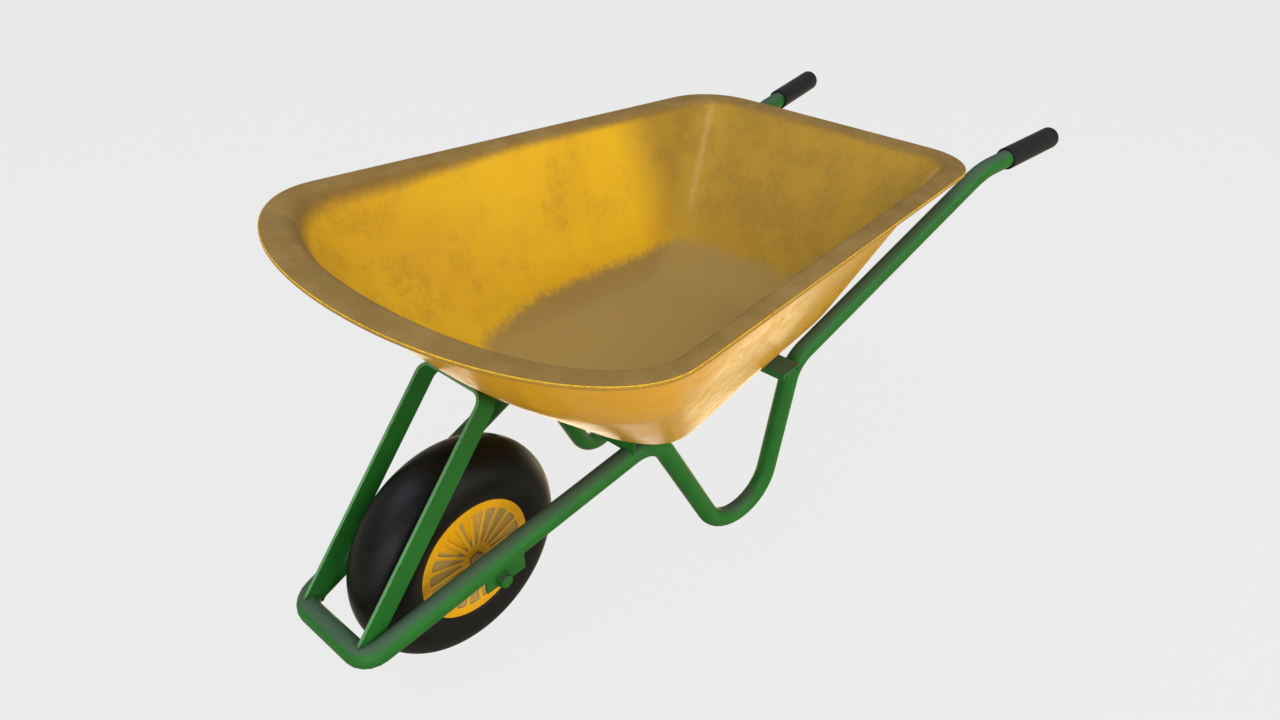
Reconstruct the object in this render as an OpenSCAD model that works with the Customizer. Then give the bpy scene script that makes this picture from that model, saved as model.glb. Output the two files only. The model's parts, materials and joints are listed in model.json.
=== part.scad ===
// Site wheelbarrow: a pressed steel tray on one bent tube frame, with a single pneumatic wheel.
// Millimetres. +X runs from the wheel to the handles, +Y is the right-hand side of the person
// who holds the grips, and +Z is up. The ground is Z = 0, and X = 0 is half way along.

/* [Wheel] */
// Outer radius of the tyre, which is also the height of the axle
wheel_r = 168; // [150:1:190]
// Radius of the tyre's round section
tyre_section_r = 52; // [44:1:56]
// Thickness of the tyre's wall
tyre_wall = 6; // [4:0.5:8]
// Radius of the wheel centre's face
rim_r = 94; // [88:1:98]
// Distance from the middle of the wheel to the face of its centre
rim_face = 46; // [40:1:48]
// Depth of the pockets between the wheel's ribs
pocket_depth = 10; // [4:1:16]
// Thickness of the web behind the pockets
web_t = 3; // [2:0.5:5]
// Number of ribs round the wheel
rib_count = 20; // [10:1:24]
// Thickness of one rib
rib_t = 4; // [2.5:0.5:6]

/* [Axle] */
// Diameter of the axle bolt
axle_d = 12; // [8:1:14]
// Outer diameter of the sleeve that the wheel turns on
sleeve_d = 15; // [14.5:0.5:17]
// Outer diameter of the hub tube
hub_d = 22; // [21:0.5:26]
// Wall of the hub tube
hub_wall = 1.5; // [1:0.25:2]
// Thickness of an axle bracket
bracket_t = 5; // [3:0.5:8]
// Length of an axle bracket
bracket_l = 68; // [50:1:90]

/* [Frame tube] */
// Outer diameter of the frame tube
tube_d = 32; // [28:0.5:36]
// Wall of the frame tube
tube_wall = 2; // [1.5:0.25:3]
// Bend radius at the front corners, on the tube's centre line
front_bend = 26; // [20:1:60]
// Bend radius at the top of the legs, on the centre line
leg_bend = 60; // [45:1:80]
// Bend radius of the foot, on the centre line
foot_bend = 76; // [60:1:90]
// Bend radius where the handle levels out, on the centre line
handle_bend = 150; // [100:5:250]

/* [Frame layout] */
// Distance from the axle forward to the front bar
front_reach = 203; // [195:1:230]
// Half width of the frame at the front bar
front_half_w = 73; // [68:1:85]
// Height of the front bar
front_h = 156; // [140:1:170]
// Distance from the axle back to the front leg
leg_x = 275; // [255:1:300]
// Half width of the frame at the front leg
leg_half_w = 134; // [120:1:150]
// Height of the frame at the front leg
leg_h = 272; // [262:1:276]
// Distance from the axle back to the foot
foot_x = 489; // [470:1:505]
// Half width of the frame at the foot
foot_half_w = 163; // [150:1:175]
// Distance from the axle back to the rear leg
back_x = 574; // [560:1:600]
// Half width of the frame at the rear leg
back_half_w = 172; // [168:1:182]
// Height of the frame at the rear leg
back_h = 274; // [268:1:278]
// Distance from the axle back to the bend below the grips
bend_x = 1029; // [950:1:1100]
// Half width of the frame at the bend below the grips
bend_half_w = 241; // [225:1:265]
// Height of the bend below the grips
bend_h = 487; // [470:1:520]
// Distance from the axle back to the end of the tube
end_x = 1248; // [1210:1:1300]
// Half width of the frame at the end of the tube
end_half_w = 270; // [255:1:290]
// Height of the end of the tube
end_h = 496; // [480:1:530]

/* [Grips] */
// Outer diameter of a grip
grip_d = 40; // [36:1:46]
// Length of a grip
grip_l = 150; // [110:1:160]
// Thickness of the grip's closed end
grip_end = 5; // [3:0.5:10]

/* [Tray] */
// Thickness of the tray's sheet
sheet_t = 1.5; // [1:0.1:2.5]
// Height of the underside of the tray's floor
floor_h = 292; // [290:1:300]
// Height of the tray's edge half way along the tray
edge_h = 576; // [560:1:600]
// Fall of the tray's edge for each millimetre towards the handles
edge_fall = 0.049; // [0:0.001:0.08]
// Distance from the axle back to the rear edge
edge_rear_x = 911; // [880:1:940]
// Half width of the edge at the rear
edge_rear_w = 296; // [270:1:320]
// Half width of the edge where the nose starts
edge_front_w = 364; // [330:1:390]
// Distance from the axle back to where the nose starts
edge_side_x = 74; // [60:1:110]
// Distance from the axle forward to the tip of the nose
edge_nose = 113; // [95:1:130]
// Radius of the rear corners of the edge
edge_corner_r = 103; // [80:1:130]
// Width of the flange at the rear
flange_rear = 23; // [15:1:35]
// Width of the flange along the sides at the rear
flange_side_rear = 36; // [25:1:45]
// Width of the flange along the sides at the front
flange_side = 31; // [20:1:40]
// Width of the flange at the tip of the nose
flange_nose = 47; // [30:1:60]
// Depth of the turned-down lip round the flange
lip = 4; // [3:0.5:10]
// Distance from the axle back to the floor's rear edge
floor_rear_x = 669; // [650:1:690]
// Half width of the floor at the rear
floor_rear_w = 164; // [140:1:166]
// Half width of the floor at the front
floor_front_w = 195; // [165:1:200]
// Distance from the axle back to where the floor's nose starts
floor_side_x = 281; // [260:1:300]
// Distance from the axle back to the tip of the floor's nose
floor_nose_x = 201; // [190:1:225]
// Radius of the rear corners of the floor
floor_corner_r = 66; // [50:1:80]
// Steepness of the nose near the floor, where 1 is a straight wall
nose_low = 0.77; // [0.7:0.01:1]
// Share of the nose's height above which it grows steeper
nose_knee = 0.67; // [0.5:0.01:0.8]
// Squareness of the floor's front, where 1 is an ellipse and less is squarer
floor_curve = 0.78; // [0.6:0.01:1]

/* [Strap and cross members] */
// Width of the flat bar of the front strap
strap_w = 32; // [24:1:40]
// Thickness of the flat bar of the front strap
strap_t = 5; // [4:0.5:8]
// Half width of the strap, to the middle of its limbs
strap_half_w = 61; // [55:1:66]
// Lean of the strap from upright
strap_lean = 41.2; // [36:0.2:46]
// Length of the strap from the front bar to the top of its bar
strap_l = 368.7; // [345:0.1:368.7]
// Distance of the strap's middle behind the front bar's centre line
strap_set_back = 3; // [0:0.5:5]
// Inner bend radius of the strap
strap_bend = 14; // [8:1:20]
// Width of the cross members
member_w = 46; // [36:1:50]
// Sheet of the cross members
member_t = 4; // [3:0.5:6]
// Distance the rear cross member reaches past the tube's centre line
member_over = 28; // [18:1:34]
// Diameter of the studs under the tray
stud_d = 8; // [6:1:10]
// Distance of each stud from the middle of the frame
stud_y = 90; // [70:1:110]

/* [Hidden] */
$fn = 64;

fit_gap = 0.1;
run_gap = 0.05;
seat_gap = 0.3;
side_play = 0.5;
tube_r = tube_d / 2;
axle_r = axle_d / 2;
sleeve_r = sleeve_d / 2;
grip_r = grip_d / 2;
paint_green = "forestgreen";
paint_yellow = "goldenrod";
bare_steel = "silver";
dull_steel = "gray";
brass = "darkgoldenrod";
black_rubber = [0.09, 0.09, 0.08];
dark_plastic = [0.15, 0.15, 0.15];

// ---- vectors ----
function unit(v) = v / norm(v);
function lean_of(v) = [0, acos(v[2] / norm(v)), atan2(v[1], v[0])];
// Turns that carry the X and Z axes onto two square unit vectors
function turn_of(ex, ez) = let (ey = cross(ez, ex))
    [atan2(ey[2], ez[2]), -asin(ex[2]), atan2(ex[1], ex[0])];

// ---- the route of the frame tube, from the front bar to the grip ----
foot_legs = [[leg_x, leg_half_w, leg_h], [back_x, back_half_w, back_h]];
// Lowest point of the foot's bend, for a corner at height z
function foot_low(z) = let (corner = [foot_x, foot_half_w, z],
    a = unit(foot_legs[0] - corner), b = unit(foot_legs[1] - corner),
    mid = unit(a + b), flat = unit(cross(a, b)),
    centre = corner + mid * foot_bend / norm(cross(a, mid)))
    centre[2] - foot_bend * sqrt(1 - flat[2] * flat[2]) - tube_r;
// Corner height at which the foot just meets the ground
function settle(z, tries) = tries == 0 ? z : settle(z - foot_low(z), tries - 1);
settle_tries = 12;
foot_corner = settle(-foot_bend, settle_tries);
// Corners: [place, bend radius]
side_route = [
    [[-front_reach, front_half_w, front_h], front_bend],
    [foot_legs[0], leg_bend],
    [[foot_x, foot_half_w, foot_corner], foot_bend],
    [foot_legs[1], leg_bend],
    [[bend_x, bend_half_w, bend_h], handle_bend],
    [[end_x, end_half_w, end_h], 0]];
function flip(p) = [p[0], -p[1], p[2]];
side_n = len(side_route);
route = concat([for (i = [side_n - 1:-1:0]) [flip(side_route[i][0]), side_route[i][1]]], side_route);
route_n = len(route);
// How far a bend eats into the straights beside corner i
function bite(i) = i == 0 || i == route_n - 1 ? 0 : let (a = unit(route[i - 1][0] - route[i][0]),
    b = unit(route[i + 1][0] - route[i][0]), half = acos(a * b) / 2) route[i][1] / tan(half);
grip_dir = unit(side_route[5][0] - side_route[4][0]);
grip_round = grip_r - tube_r;
grip_tip = side_route[5][0] + grip_dir * grip_end;
front_most = -front_reach - tube_r;
rear_most = grip_tip[0] + grip_round * (1 - grip_dir[0])
    + (grip_r - grip_round) * sqrt(1 - grip_dir[0] * grip_dir[0]);
x_mid = (front_most + rear_most) / 2;

// ---- outlines of the tray, seen from above ----
// An outline is [rear x, rear half width, front half width, side x, nose x, corner radius, curve]
corner_steps = 6;
side_steps = 4;
nose_steps = 12;
function half_outline(o) = concat(
    [for (i = [0:corner_steps]) let (t = 90 * i / corner_steps)
        [o[0] - o[5] + o[5] * cos(t), o[1] - o[5] + o[5] * sin(t)]],
    [for (i = [1:side_steps]) let (s = i / side_steps, x0 = o[0] - o[5])
        [x0 + (o[3] - x0) * s, o[1] + (o[2] - o[1]) * s]],
    [for (i = [1:nose_steps]) let (t = 90 * i / nose_steps)
        [o[3] - (o[3] - o[4]) * pow(sin(t), o[6]), o[2] * pow(cos(t), o[6])]]);
function outline(o) = let (h = half_outline(o), n = len(h))
    concat(h, [for (i = [n - 2:-1:0]) [h[i][0], -h[i][1]]]);
edge_curve = 0.98;
mouth_curve = 0.94;
mouth_set_back = 14;
edge = [edge_rear_x, edge_rear_w, edge_front_w, edge_side_x, -edge_nose, edge_corner_r, edge_curve];
mouth = [edge_rear_x - flange_rear, edge_rear_w - flange_side_rear, edge_front_w - flange_side,
    edge_side_x + mouth_set_back, flange_nose - edge_nose, edge_corner_r - flange_side_rear, mouth_curve];
base = [floor_rear_x, floor_rear_w, floor_front_w, floor_side_x, floor_nose_x, floor_corner_r, floor_curve];
function shrink(o, d) = [o[0] - d, o[1] - d, o[2] - d, o[3], o[4] + d, o[5] - d, o[6]];
function edge_z(x) = edge_h - edge_fall * (x - (edge_rear_x - edge_nose) / 2);

// ---- profile of the wall: [share of the way out, share of the way up] ----
bend_in = 0.22;
bend_up = 0.2;
bend_steps = 5;
wall_steps = 5;
edge_round = 1;
profile = concat(
    [for (i = [0:bend_steps]) let (t = i / bend_steps)
        [-bend_in * (1 - t) * (1 - t) + bend_up * t * t, bend_up * t * t]],
    [for (i = [1:wall_steps]) let (s = bend_up + (1 - bend_up) * i / wall_steps) [s, s]]);
// Share of the way up the nose for a share of the way out
function nose_rise(h) = nose_low * h + (1 - nose_low) * pow(max(0, h - nose_knee) / (1 - nose_knee), 2);
// One ring of the tray's wall between the floor's outline and the mouth's
function wall_ring(low, high, z0, up, drop) = let (a = outline(low), b = outline(high))
    [for (i = [0:len(a) - 1]) let (d = b[i] - a[i], nose = pow(max(0, -d[0]) / norm(d), 2),
        s = up[1] + (nose_rise(up[1]) - up[1]) * nose, p = a[i] + d * up[0])
        [p[0], p[1], z0 + (edge_z(b[i][0]) - drop - z0) * s]];
function flat_ring(o, drop) = [for (p = outline(o)) [p[0], p[1], edge_z(p[0]) - drop]];
tray_rings = concat(
    [for (up = profile) wall_ring(base, mouth, floor_h, up, sheet_t)],
    [flat_ring(shrink(edge, sheet_t), sheet_t), flat_ring(shrink(edge, sheet_t), lip),
     flat_ring(edge, lip), flat_ring(edge, edge_round), flat_ring(shrink(edge, edge_round), 0)],
    [for (i = [len(profile) - 1:-1:0])
        wall_ring(shrink(base, sheet_t), shrink(mouth, sheet_t), floor_h + sheet_t, profile[i], 0)]);
ring_n = len(tray_rings[0]);

module tray() {
    n = ring_n;
    last = len(tray_rings) - 1;
    color(paint_yellow) translate([-x_mid, 0, 0]) polyhedron(
        points = [for (ring = tray_rings) each ring],
        faces = concat(
            [[for (i = [0:n - 1]) i]],
            [for (r = [0:last - 1], i = [0:n - 1]) let (j = (i + 1) % n)
                [r * n + i, r * n + n + i, r * n + j]],
            [for (r = [0:last - 1], i = [0:n - 1]) let (j = (i + 1) % n)
                [r * n + j, r * n + n + i, r * n + n + j]],
            [[for (i = [n - 1:-1:0]) last * n + i]]));
}

// ---- the tube along its route ----
// Straights stop just short of the bends, and a ring inside the wall joins them
join_gap = 0.1;
join_l = 1.2;
join_inset = 0.3;

module straight(i, r, bore) {
    way = unit(route[i + 1][0] - route[i][0]);
    a = route[i][0] + way * (i == 0 ? 0 : bite(i) + join_gap);
    b = route[i + 1][0] - way * (i == route_n - 2 ? 0 : bite(i + 1) + join_gap);
    translate(a) rotate(lean_of(way)) linear_extrude(norm(b - a)) tube_section(r, bore);
}

module tube_section(r, bore) {
    difference() {
        circle(r);
        if (bore > 0) circle(bore);
    }
}

// Bend at corner i of the route
module elbow(i, r, bore) {
    a = unit(route[i - 1][0] - route[i][0]);
    b = unit(route[i + 1][0] - route[i][0]);
    half = acos(a * b) / 2;
    bend = route[i][1];
    centre = route[i][0] + unit(a + b) * bend / sin(half);
    ex = unit(route[i][0] + a * bite(i) - centre);
    ez = unit(cross(b, a));
    translate(centre) rotate(turn_of(ex, ez)) rotate_extrude(angle = 180 - 2 * half)
        translate([bend, 0]) tube_section(r, bore);
}

// Ring where the bend at corner i meets the straight towards corner k
module join_ring(i, k) {
    way = unit(route[k][0] - route[i][0]);
    translate(route[i][0] + way * (bite(i) - join_l / 2)) rotate(lean_of(way)) linear_extrude(join_l)
        tube_section(tube_r - join_inset, tube_r - tube_wall + join_inset);
}

module frame_tube() {
    color(paint_green) translate([-x_mid, 0, 0]) {
        for (i = [0:route_n - 2]) straight(i, tube_r, tube_r - tube_wall);
        for (i = [1:route_n - 2]) {
            elbow(i, tube_r, tube_r - tube_wall);
            join_ring(i, i - 1);
            join_ring(i, i + 1);
        }
    }
}

// Room for the tube along part of its route
module tube_room(straights, bends) {
    for (i = straights) straight(i, tube_r + fit_gap, 0);
    for (i = bends) elbow(i, tube_r + fit_gap, 0);
}

// ---- the strap in front of the wheel ----
module strap_outline(half, top, r) {
    translate([-half, 0]) square([2 * half, top - r]);
    translate([-half + r, 0]) square([2 * (half - r), top]);
    for (s = [-1, 1]) translate([s * (half - r), top - r]) circle(r);
}

strap_foot = 12;

module front_strap() {
    outer = strap_half_w + strap_t / 2;
    inner = strap_half_w - strap_t / 2;
    color(paint_green) translate([-x_mid - front_reach, 0, front_h]) difference() {
        rotate([0, strap_lean, 0]) rotate([90, 0, 90]) translate([0, 0, strap_set_back - strap_w / 2])
            linear_extrude(strap_w) difference() {
                strap_outline(outer, strap_l, strap_bend + strap_t);
                translate([0, -1]) strap_outline(inner, strap_l - strap_t + 1, strap_bend);
                translate([-2 * outer, -1]) square([4 * outer, strap_foot + 1]);
            }
        translate([front_reach, 0, -front_h]) tube_room([4, 6], [5, 6]);
    }
}

// ---- cross members ----
member_top = floor_h - seat_gap;
front_member_x = leg_x - leg_bend / 2;
member_clear = 4;
back_member_x = back_x - tube_r - member_w / 2 - member_clear;
member_xs = [front_member_x, back_member_x];

module member(x, half, depth) {
    translate([x - member_w / 2, -half, member_top - depth]) difference() {
        cube([member_w, 2 * half, depth]);
        translate([member_t, -1, -1]) cube([member_w - 2 * member_t, 2 * half + 2, depth - member_t + 1]);
    }
}

module stud_holes(x) {
    for (s = [-1, 1]) translate([x, s * stud_y, member_top - stud_l])
        cylinder(h = 2 * stud_l, r = stud_d / 2 + fit_gap);
}

front_member_depth = 22;
back_member_depth = 12;

module front_cross_member() {
    color(paint_green) translate([-x_mid, 0, 0]) difference() {
        member(front_member_x, leg_half_w + tube_r / 2, front_member_depth);
        tube_room([4, 6], [4, 7]);
        stud_holes(front_member_x);
    }
}

module rear_cross_member() {
    color(paint_green) translate([-x_mid, 0, 0]) difference() {
        member(back_member_x, back_half_w + member_over, back_member_depth);
        tube_room([2, 8], [2, 9]);
        stud_holes(back_member_x);
    }
}

// ---- fixings under the tray ----
washer_t = 1.6;
stud_nut_h = 6.5;
stud_spare = 5;
stud_l = member_t + seat_gap + washer_t + stud_nut_h + stud_spare;

module at_studs() {
    for (x = member_xs, s = [-1, 1]) translate([x - x_mid, s * stud_y, floor_h]) children();
}

module tray_studs() {
    color(bare_steel) at_studs() translate([0, 0, -stud_l]) cylinder(h = stud_l - run_gap, r = stud_d / 2);
}

module tray_washers() {
    color(bare_steel) at_studs() translate([0, 0, -seat_gap - member_t - washer_t]) difference() {
        cylinder(h = washer_t, r = stud_d);
        translate([0, 0, -1]) cylinder(h = washer_t + 2, r = stud_d / 2 + fit_gap);
    }
}

module hex_nut(across, h, bore) {
    difference() {
        cylinder(h = h, r = across / sqrt(3), $fn = 6);
        translate([0, 0, -1]) cylinder(h = h + 2, r = bore);
    }
}

module tray_nuts() {
    color(bare_steel) at_studs() translate([0, 0, -seat_gap - member_t - washer_t - stud_nut_h])
        hex_nut(1.6 * stud_d, stud_nut_h, stud_d / 2 + run_gap);
}

// ---- axle ----
// Half width of the frame above the axle
axle_share = front_reach / (front_reach + leg_x);
axle_half_w = front_half_w + (leg_half_w - front_half_w) * axle_share;
bracket_in = axle_half_w - bracket_t / 2;
bracket_out = axle_half_w + bracket_t / 2;
bracket_low = wheel_r - 10;
bracket_set_back = 7;
// Height of the tube's centre line above the axle, and its slope there
axle_tube_h = front_h + (leg_h - front_h) * axle_share;
side_slope = atan((leg_h - front_h) / (leg_x + front_reach));
head_h = 8;
head_across = 1.5 * axle_d;
axle_washer_t = 2.5;
axle_nut_h = 10;
bolt_spare = 4;
spacer_wall = 1.5;
hub_half = rim_face - 2;
bush_flange = 2;
bush_end = hub_half + bush_flange;
spacer_start = bush_end + side_play;

module axle_place() {
    translate([-x_mid, 0, wheel_r]) children();
}

// Lays a child built along Z onto the Y axis, with its start at y
module along_y(y) {
    translate([0, y, 0]) rotate([-90, 0, 0]) children();
}

module bracket(side) {
    color(paint_green) translate([-x_mid, 0, 0]) difference() {
        translate([bracket_set_back - bracket_l / 2, side * axle_half_w - bracket_t / 2, bracket_low])
            cube([bracket_l, bracket_t, axle_tube_h + tube_r - bracket_low]);
        tube_room([4, 6], []);
        translate([0, 0, axle_tube_h]) rotate([0, -side_slope, 0])
            translate([-bracket_l, -2 * axle_half_w, 0]) cube([2 * bracket_l, 4 * axle_half_w, bracket_l]);
        translate([0, 0, wheel_r]) along_y(side * axle_half_w - bracket_t)
            cylinder(h = 2 * bracket_t, r = axle_r + fit_gap);
    }
}

module left_axle_bracket() {
    bracket(-1);
}

module right_axle_bracket() {
    bracket(1);
}

module axle_bolt() {
    shank = 2 * bracket_out + 2 * axle_washer_t + axle_nut_h + bolt_spare;
    color(paint_green) axle_place() along_y(-bracket_out - axle_washer_t) {
        cylinder(h = shank, r = axle_r);
        translate([0, 0, -head_h]) cylinder(h = head_h, r = head_across / sqrt(3), $fn = 6);
    }
}

module ring(h, r, bore) {
    difference() {
        cylinder(h = h, r = r);
        translate([0, 0, -1]) cylinder(h = h + 2, r = bore);
    }
}

module axle_washers() {
    color(bare_steel) axle_place() {
        along_y(-bracket_out - axle_washer_t) ring(axle_washer_t, axle_d, axle_r + fit_gap);
        along_y(bracket_out) ring(axle_washer_t, axle_d, axle_r + fit_gap);
    }
}

module axle_nut() {
    color(bare_steel) axle_place() along_y(bracket_out + axle_washer_t)
        hex_nut(head_across, axle_nut_h, axle_r + run_gap);
}

module axle_sleeve() {
    color(dull_steel) axle_place() along_y(-bracket_in) ring(2 * bracket_in, sleeve_r, axle_r + fit_gap);
}

module axle_spacers() {
    color(dull_steel) axle_place() for (s = [-1, 1]) along_y(s > 0 ? spacer_start : -bracket_in)
        ring(bracket_in - spacer_start, sleeve_r + spacer_wall, sleeve_r + fit_gap);
}

// ---- grips ----
module grip(side) {
    start = grip_tip - grip_dir * grip_l;
    color(black_rubber) translate([-x_mid, 0, 0]) mirror([0, side < 0 ? 1 : 0, 0]) translate(start)
        rotate(lean_of(grip_dir)) rotate_extrude() difference() {
            union() {
                square([grip_r, grip_l - grip_round]);
                square([grip_r - grip_round, grip_l]);
                translate([grip_r - grip_round, grip_l - grip_round]) circle(grip_round);
            }
            translate([-grip_r, -grip_l]) square([grip_r, 3 * grip_l]);
            translate([0, -1]) square([tube_r + run_gap, grip_l - grip_end + 1]);
        }
}

module left_grip() {
    grip(-1);
}

module right_grip() {
    grip(1);
}

// ---- wheel ----
mid_r = wheel_r - tyre_section_r;
rim_flange = 14;
barrel_r = rim_r - rim_flange;
barrel_t = 3;
flange_t = 2.5;
bead_gap = 0.3;
bead_w = 11;
hub_r = hub_d / 2;
boss_wall = 11;
boss_r = hub_r + boss_wall;
pocket_in = boss_r + 2;
pocket_out = barrel_r - 1;
pocket_round = 4;
air_wall = 1.5;
air_out = wheel_r - tyre_wall - bead_gap;
air_in = barrel_r + bead_gap;

// Turns a child about the axle, with its own Y axis towards the left
module turned() {
    axle_place() rotate([90, 0, 0]) rotate_extrude($fn = 96) children();
}

module tyre() {
    inner_half = rim_face - flange_t - bead_w;
    flange_in = rim_face - flange_t - bead_gap;
    color(black_rubber) turned() difference() {
        translate([mid_r, 0]) circle(tyre_section_r);
        translate([mid_r, 0]) circle(tyre_section_r - tyre_wall);
        translate([0, -inner_half]) square([mid_r, 2 * inner_half]);
        translate([0, -wheel_r]) square([barrel_r + bead_gap, 2 * wheel_r]);
        for (y = [flange_in, -flange_in - wheel_r]) translate([0, y]) square([rim_r + bead_gap, wheel_r]);
    }
}

valve_r = 4;
valve_y = 20;
valve_turn_r = 60;
valve_angle = 180 / rib_count;

// The valve's place on the wheel, with X pointing outwards
module valve_place() {
    axle_place() rotate([0, valve_angle, 0]) children();
}

module inner_tube() {
    color(black_rubber) difference() {
        turned() translate([(air_out + air_in) / 2, 0]) difference() {
            circle((air_out - air_in) / 2);
            circle((air_out - air_in) / 2 - air_wall);
        }
        valve_place() translate([valve_turn_r, valve_y, 0]) rotate([0, 90, 0])
            cylinder(h = mid_r - valve_turn_r, r = valve_r + fit_gap);
    }
}

// Outline of one pocket between two ribs, along X
module pocket() {
    half = 180 / rib_count;
    low_w = pocket_in * sin(half) - rib_t / 2;
    side = pocket_out - pocket_round;
    side_w = side * sin(half) - rib_t / 2;
    polygon([[pocket_in, -low_w], [side, -side_w], [side, side_w], [pocket_in, low_w]]);
    translate([side, -side_w + pocket_round]) square([pocket_round, 2 * (side_w - pocket_round)]);
    for (s = [-1, 1]) translate([side, s * (side_w - pocket_round)]) circle(pocket_round);
}

module rim_half() {
    rotate([90, 0, 0]) difference() {
        rotate_extrude($fn = 96) {
            translate([barrel_r - barrel_t, 0]) square([barrel_t, rim_face]);
            translate([hub_r + fit_gap, 0]) square([boss_r - hub_r - fit_gap, rim_face]);
            translate([hub_r + fit_gap, rim_face - pocket_depth - web_t])
                square([barrel_r - hub_r - fit_gap, pocket_depth + web_t]);
            translate([barrel_r - barrel_t, rim_face - flange_t])
                square([rim_r - barrel_r + barrel_t, flange_t]);
        }
        for (i = [0:rib_count - 1]) rotate([0, 0, (i + 0.5) * 360 / rib_count])
            translate([0, 0, rim_face - pocket_depth]) linear_extrude(pocket_depth + 1) pocket();
    }
}

module rim_left() {
    color(paint_yellow) axle_place() rim_half();
}

module rim_right() {
    color(paint_yellow) difference() {
        axle_place() mirror([0, 1, 0]) rim_half();
        valve_place() translate([valve_turn_r, valve_y, 0]) {
            rotate([0, 90, 0]) cylinder(h = barrel_r, r = valve_r + fit_gap);
            along_y(0) cylinder(h = rim_face, r = valve_r + fit_gap);
        }
    }
}

module hub_tube() {
    color(dull_steel) axle_place() along_y(-hub_half) ring(2 * hub_half, hub_r, hub_r - hub_wall);
}

bush_l = 16;

module hub_bushes() {
    color(dark_plastic) turned() for (s = [0, 1]) mirror([0, s]) {
        translate([sleeve_r + run_gap, hub_half - bush_l])
            square([hub_r - hub_wall - 2 * run_gap - sleeve_r, bush_l]);
        translate([sleeve_r + run_gap, hub_half]) square([hub_r - 1 - sleeve_r, bush_flange]);
    }
}

valve_end = rim_face + 6;
valve_bore_r = 1.5;
valve_bore_l = 22;
cap_l = 10;
cap_over = 8;
cap_wall = 1.2;

module valve_stem() {
    color(brass) valve_place() translate([valve_turn_r, 0, 0]) difference() {
        translate([0, valve_y, 0]) {
            sphere(valve_r);
            rotate([0, 90, 0]) cylinder(h = air_in + 2 * air_wall - valve_turn_r, r = valve_r);
            along_y(0) cylinder(h = valve_end - valve_y, r = valve_r);
        }
        along_y(valve_end - valve_bore_l) cylinder(h = valve_bore_l + 1, r = valve_bore_r);
    }
}

module valve_cap() {
    color(dark_plastic) valve_place() translate([valve_turn_r, 0, 0]) along_y(valve_end - cap_over)
        difference() {
            cylinder(h = cap_l, r = valve_r + cap_wall);
            translate([0, 0, -1]) cylinder(h = cap_over + fit_gap + 1, r = valve_r + fit_gap);
        }
}

tray();
tray_studs();
tray_washers();
tray_nuts();
frame_tube();
front_strap();
front_cross_member();
rear_cross_member();
left_axle_bracket();
right_axle_bracket();
axle_bolt();
axle_washers();
axle_nut();
axle_sleeve();
axle_spacers();
left_grip();
right_grip();
tyre();
inner_tube();
rim_left();
rim_right();
hub_tube();
hub_bushes();
valve_stem();
valve_cap();
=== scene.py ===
"""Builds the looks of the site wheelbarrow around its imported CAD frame.

Lengths are in metres in the frame's own axes: +X runs from the wheel to the handles, +Y is the
right hand of the person at the grips, +Z is up and the ground is Z = 0.  Places along X are
counted from the axle, and AXLE turns them into the frame's own.
"""
import json
import logging
import math
from dataclasses import dataclass, field
from enum import Enum
from typing import Any, Sequence

import bmesh
import bpy
import numpy as np
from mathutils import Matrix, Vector


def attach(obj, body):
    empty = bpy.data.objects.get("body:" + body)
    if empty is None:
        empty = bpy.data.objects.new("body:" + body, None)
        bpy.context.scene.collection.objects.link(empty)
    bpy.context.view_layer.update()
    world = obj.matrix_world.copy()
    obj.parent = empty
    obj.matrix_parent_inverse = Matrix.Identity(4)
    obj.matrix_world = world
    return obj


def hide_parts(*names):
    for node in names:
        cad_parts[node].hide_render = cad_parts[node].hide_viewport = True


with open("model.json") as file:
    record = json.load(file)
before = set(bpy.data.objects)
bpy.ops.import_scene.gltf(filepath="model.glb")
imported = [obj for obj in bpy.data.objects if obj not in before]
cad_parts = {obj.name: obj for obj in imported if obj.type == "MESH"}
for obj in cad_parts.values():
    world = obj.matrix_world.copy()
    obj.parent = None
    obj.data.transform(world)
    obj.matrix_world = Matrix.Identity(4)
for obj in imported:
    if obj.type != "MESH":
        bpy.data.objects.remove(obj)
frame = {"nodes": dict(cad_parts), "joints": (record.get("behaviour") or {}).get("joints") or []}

LOG = logging.getLogger("wheelbarrow")
MM = 0.001
AXLE = np.array(frame["joints"][0]["pos_m"], float)
GROUND_UNDER_AXLE = AXLE * np.array([1.0, 1.0, 0.0])
ALONG_Y = np.array([0.0, 1.0, 0.0])
HEXAGON_STEPS = 96
POLE_MERGE = 0.01 * MM

Colour = tuple[float, float, float]


class Body(Enum):
    """The bodies that pieces ride on."""

    BARROW = "barrow"
    WHEEL = "wheel"


class Slot(Enum):
    """The record's material slots, which each coating is listed under."""

    YELLOW = "yellow_paint"
    GREEN = "green_paint"
    ZINC = "zinc_steel"
    GRIP = "grip_rubber"
    TYRE = "tyre_rubber"
    RIM = "rim_yellow"


# ---------------------------------------------------------------- numbers and shapes


def smoothstep(low: float, high: float, value: np.ndarray) -> np.ndarray:
    """Returns 0 below low, 1 above high and the usual S-curve between them."""
    t = np.clip((value - low) / (high - low), 0.0, 1.0)
    return t * t * (3.0 - 2.0 * t)


def unit(v: np.ndarray) -> np.ndarray:
    """Returns v scaled to length 1 along its last axis."""
    return v / np.maximum(np.linalg.norm(v, axis=-1, keepdims=True), 1e-12)


def bezier(a: np.ndarray, b: np.ndarray, c: np.ndarray, steps: int) -> np.ndarray:
    """Rounds the corner b between a and c.

    The formula is (1-t)^2 a + 2t(1-t) b + t^2 c for t from 0 to 1.

    Args:
        a: Where the curve starts, of any shape.
        b: The corner that it rounds.
        c: Where the curve ends.
        steps: How many steps the curve is cut into.

    Returns:
        The points, with the steps along a new first axis.
    """
    t = np.linspace(0.0, 1.0, steps + 1).reshape((-1,) + (1,) * a.ndim)
    return (1 - t) ** 2 * a + 2 * t * (1 - t) * b + t * t * c


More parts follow.
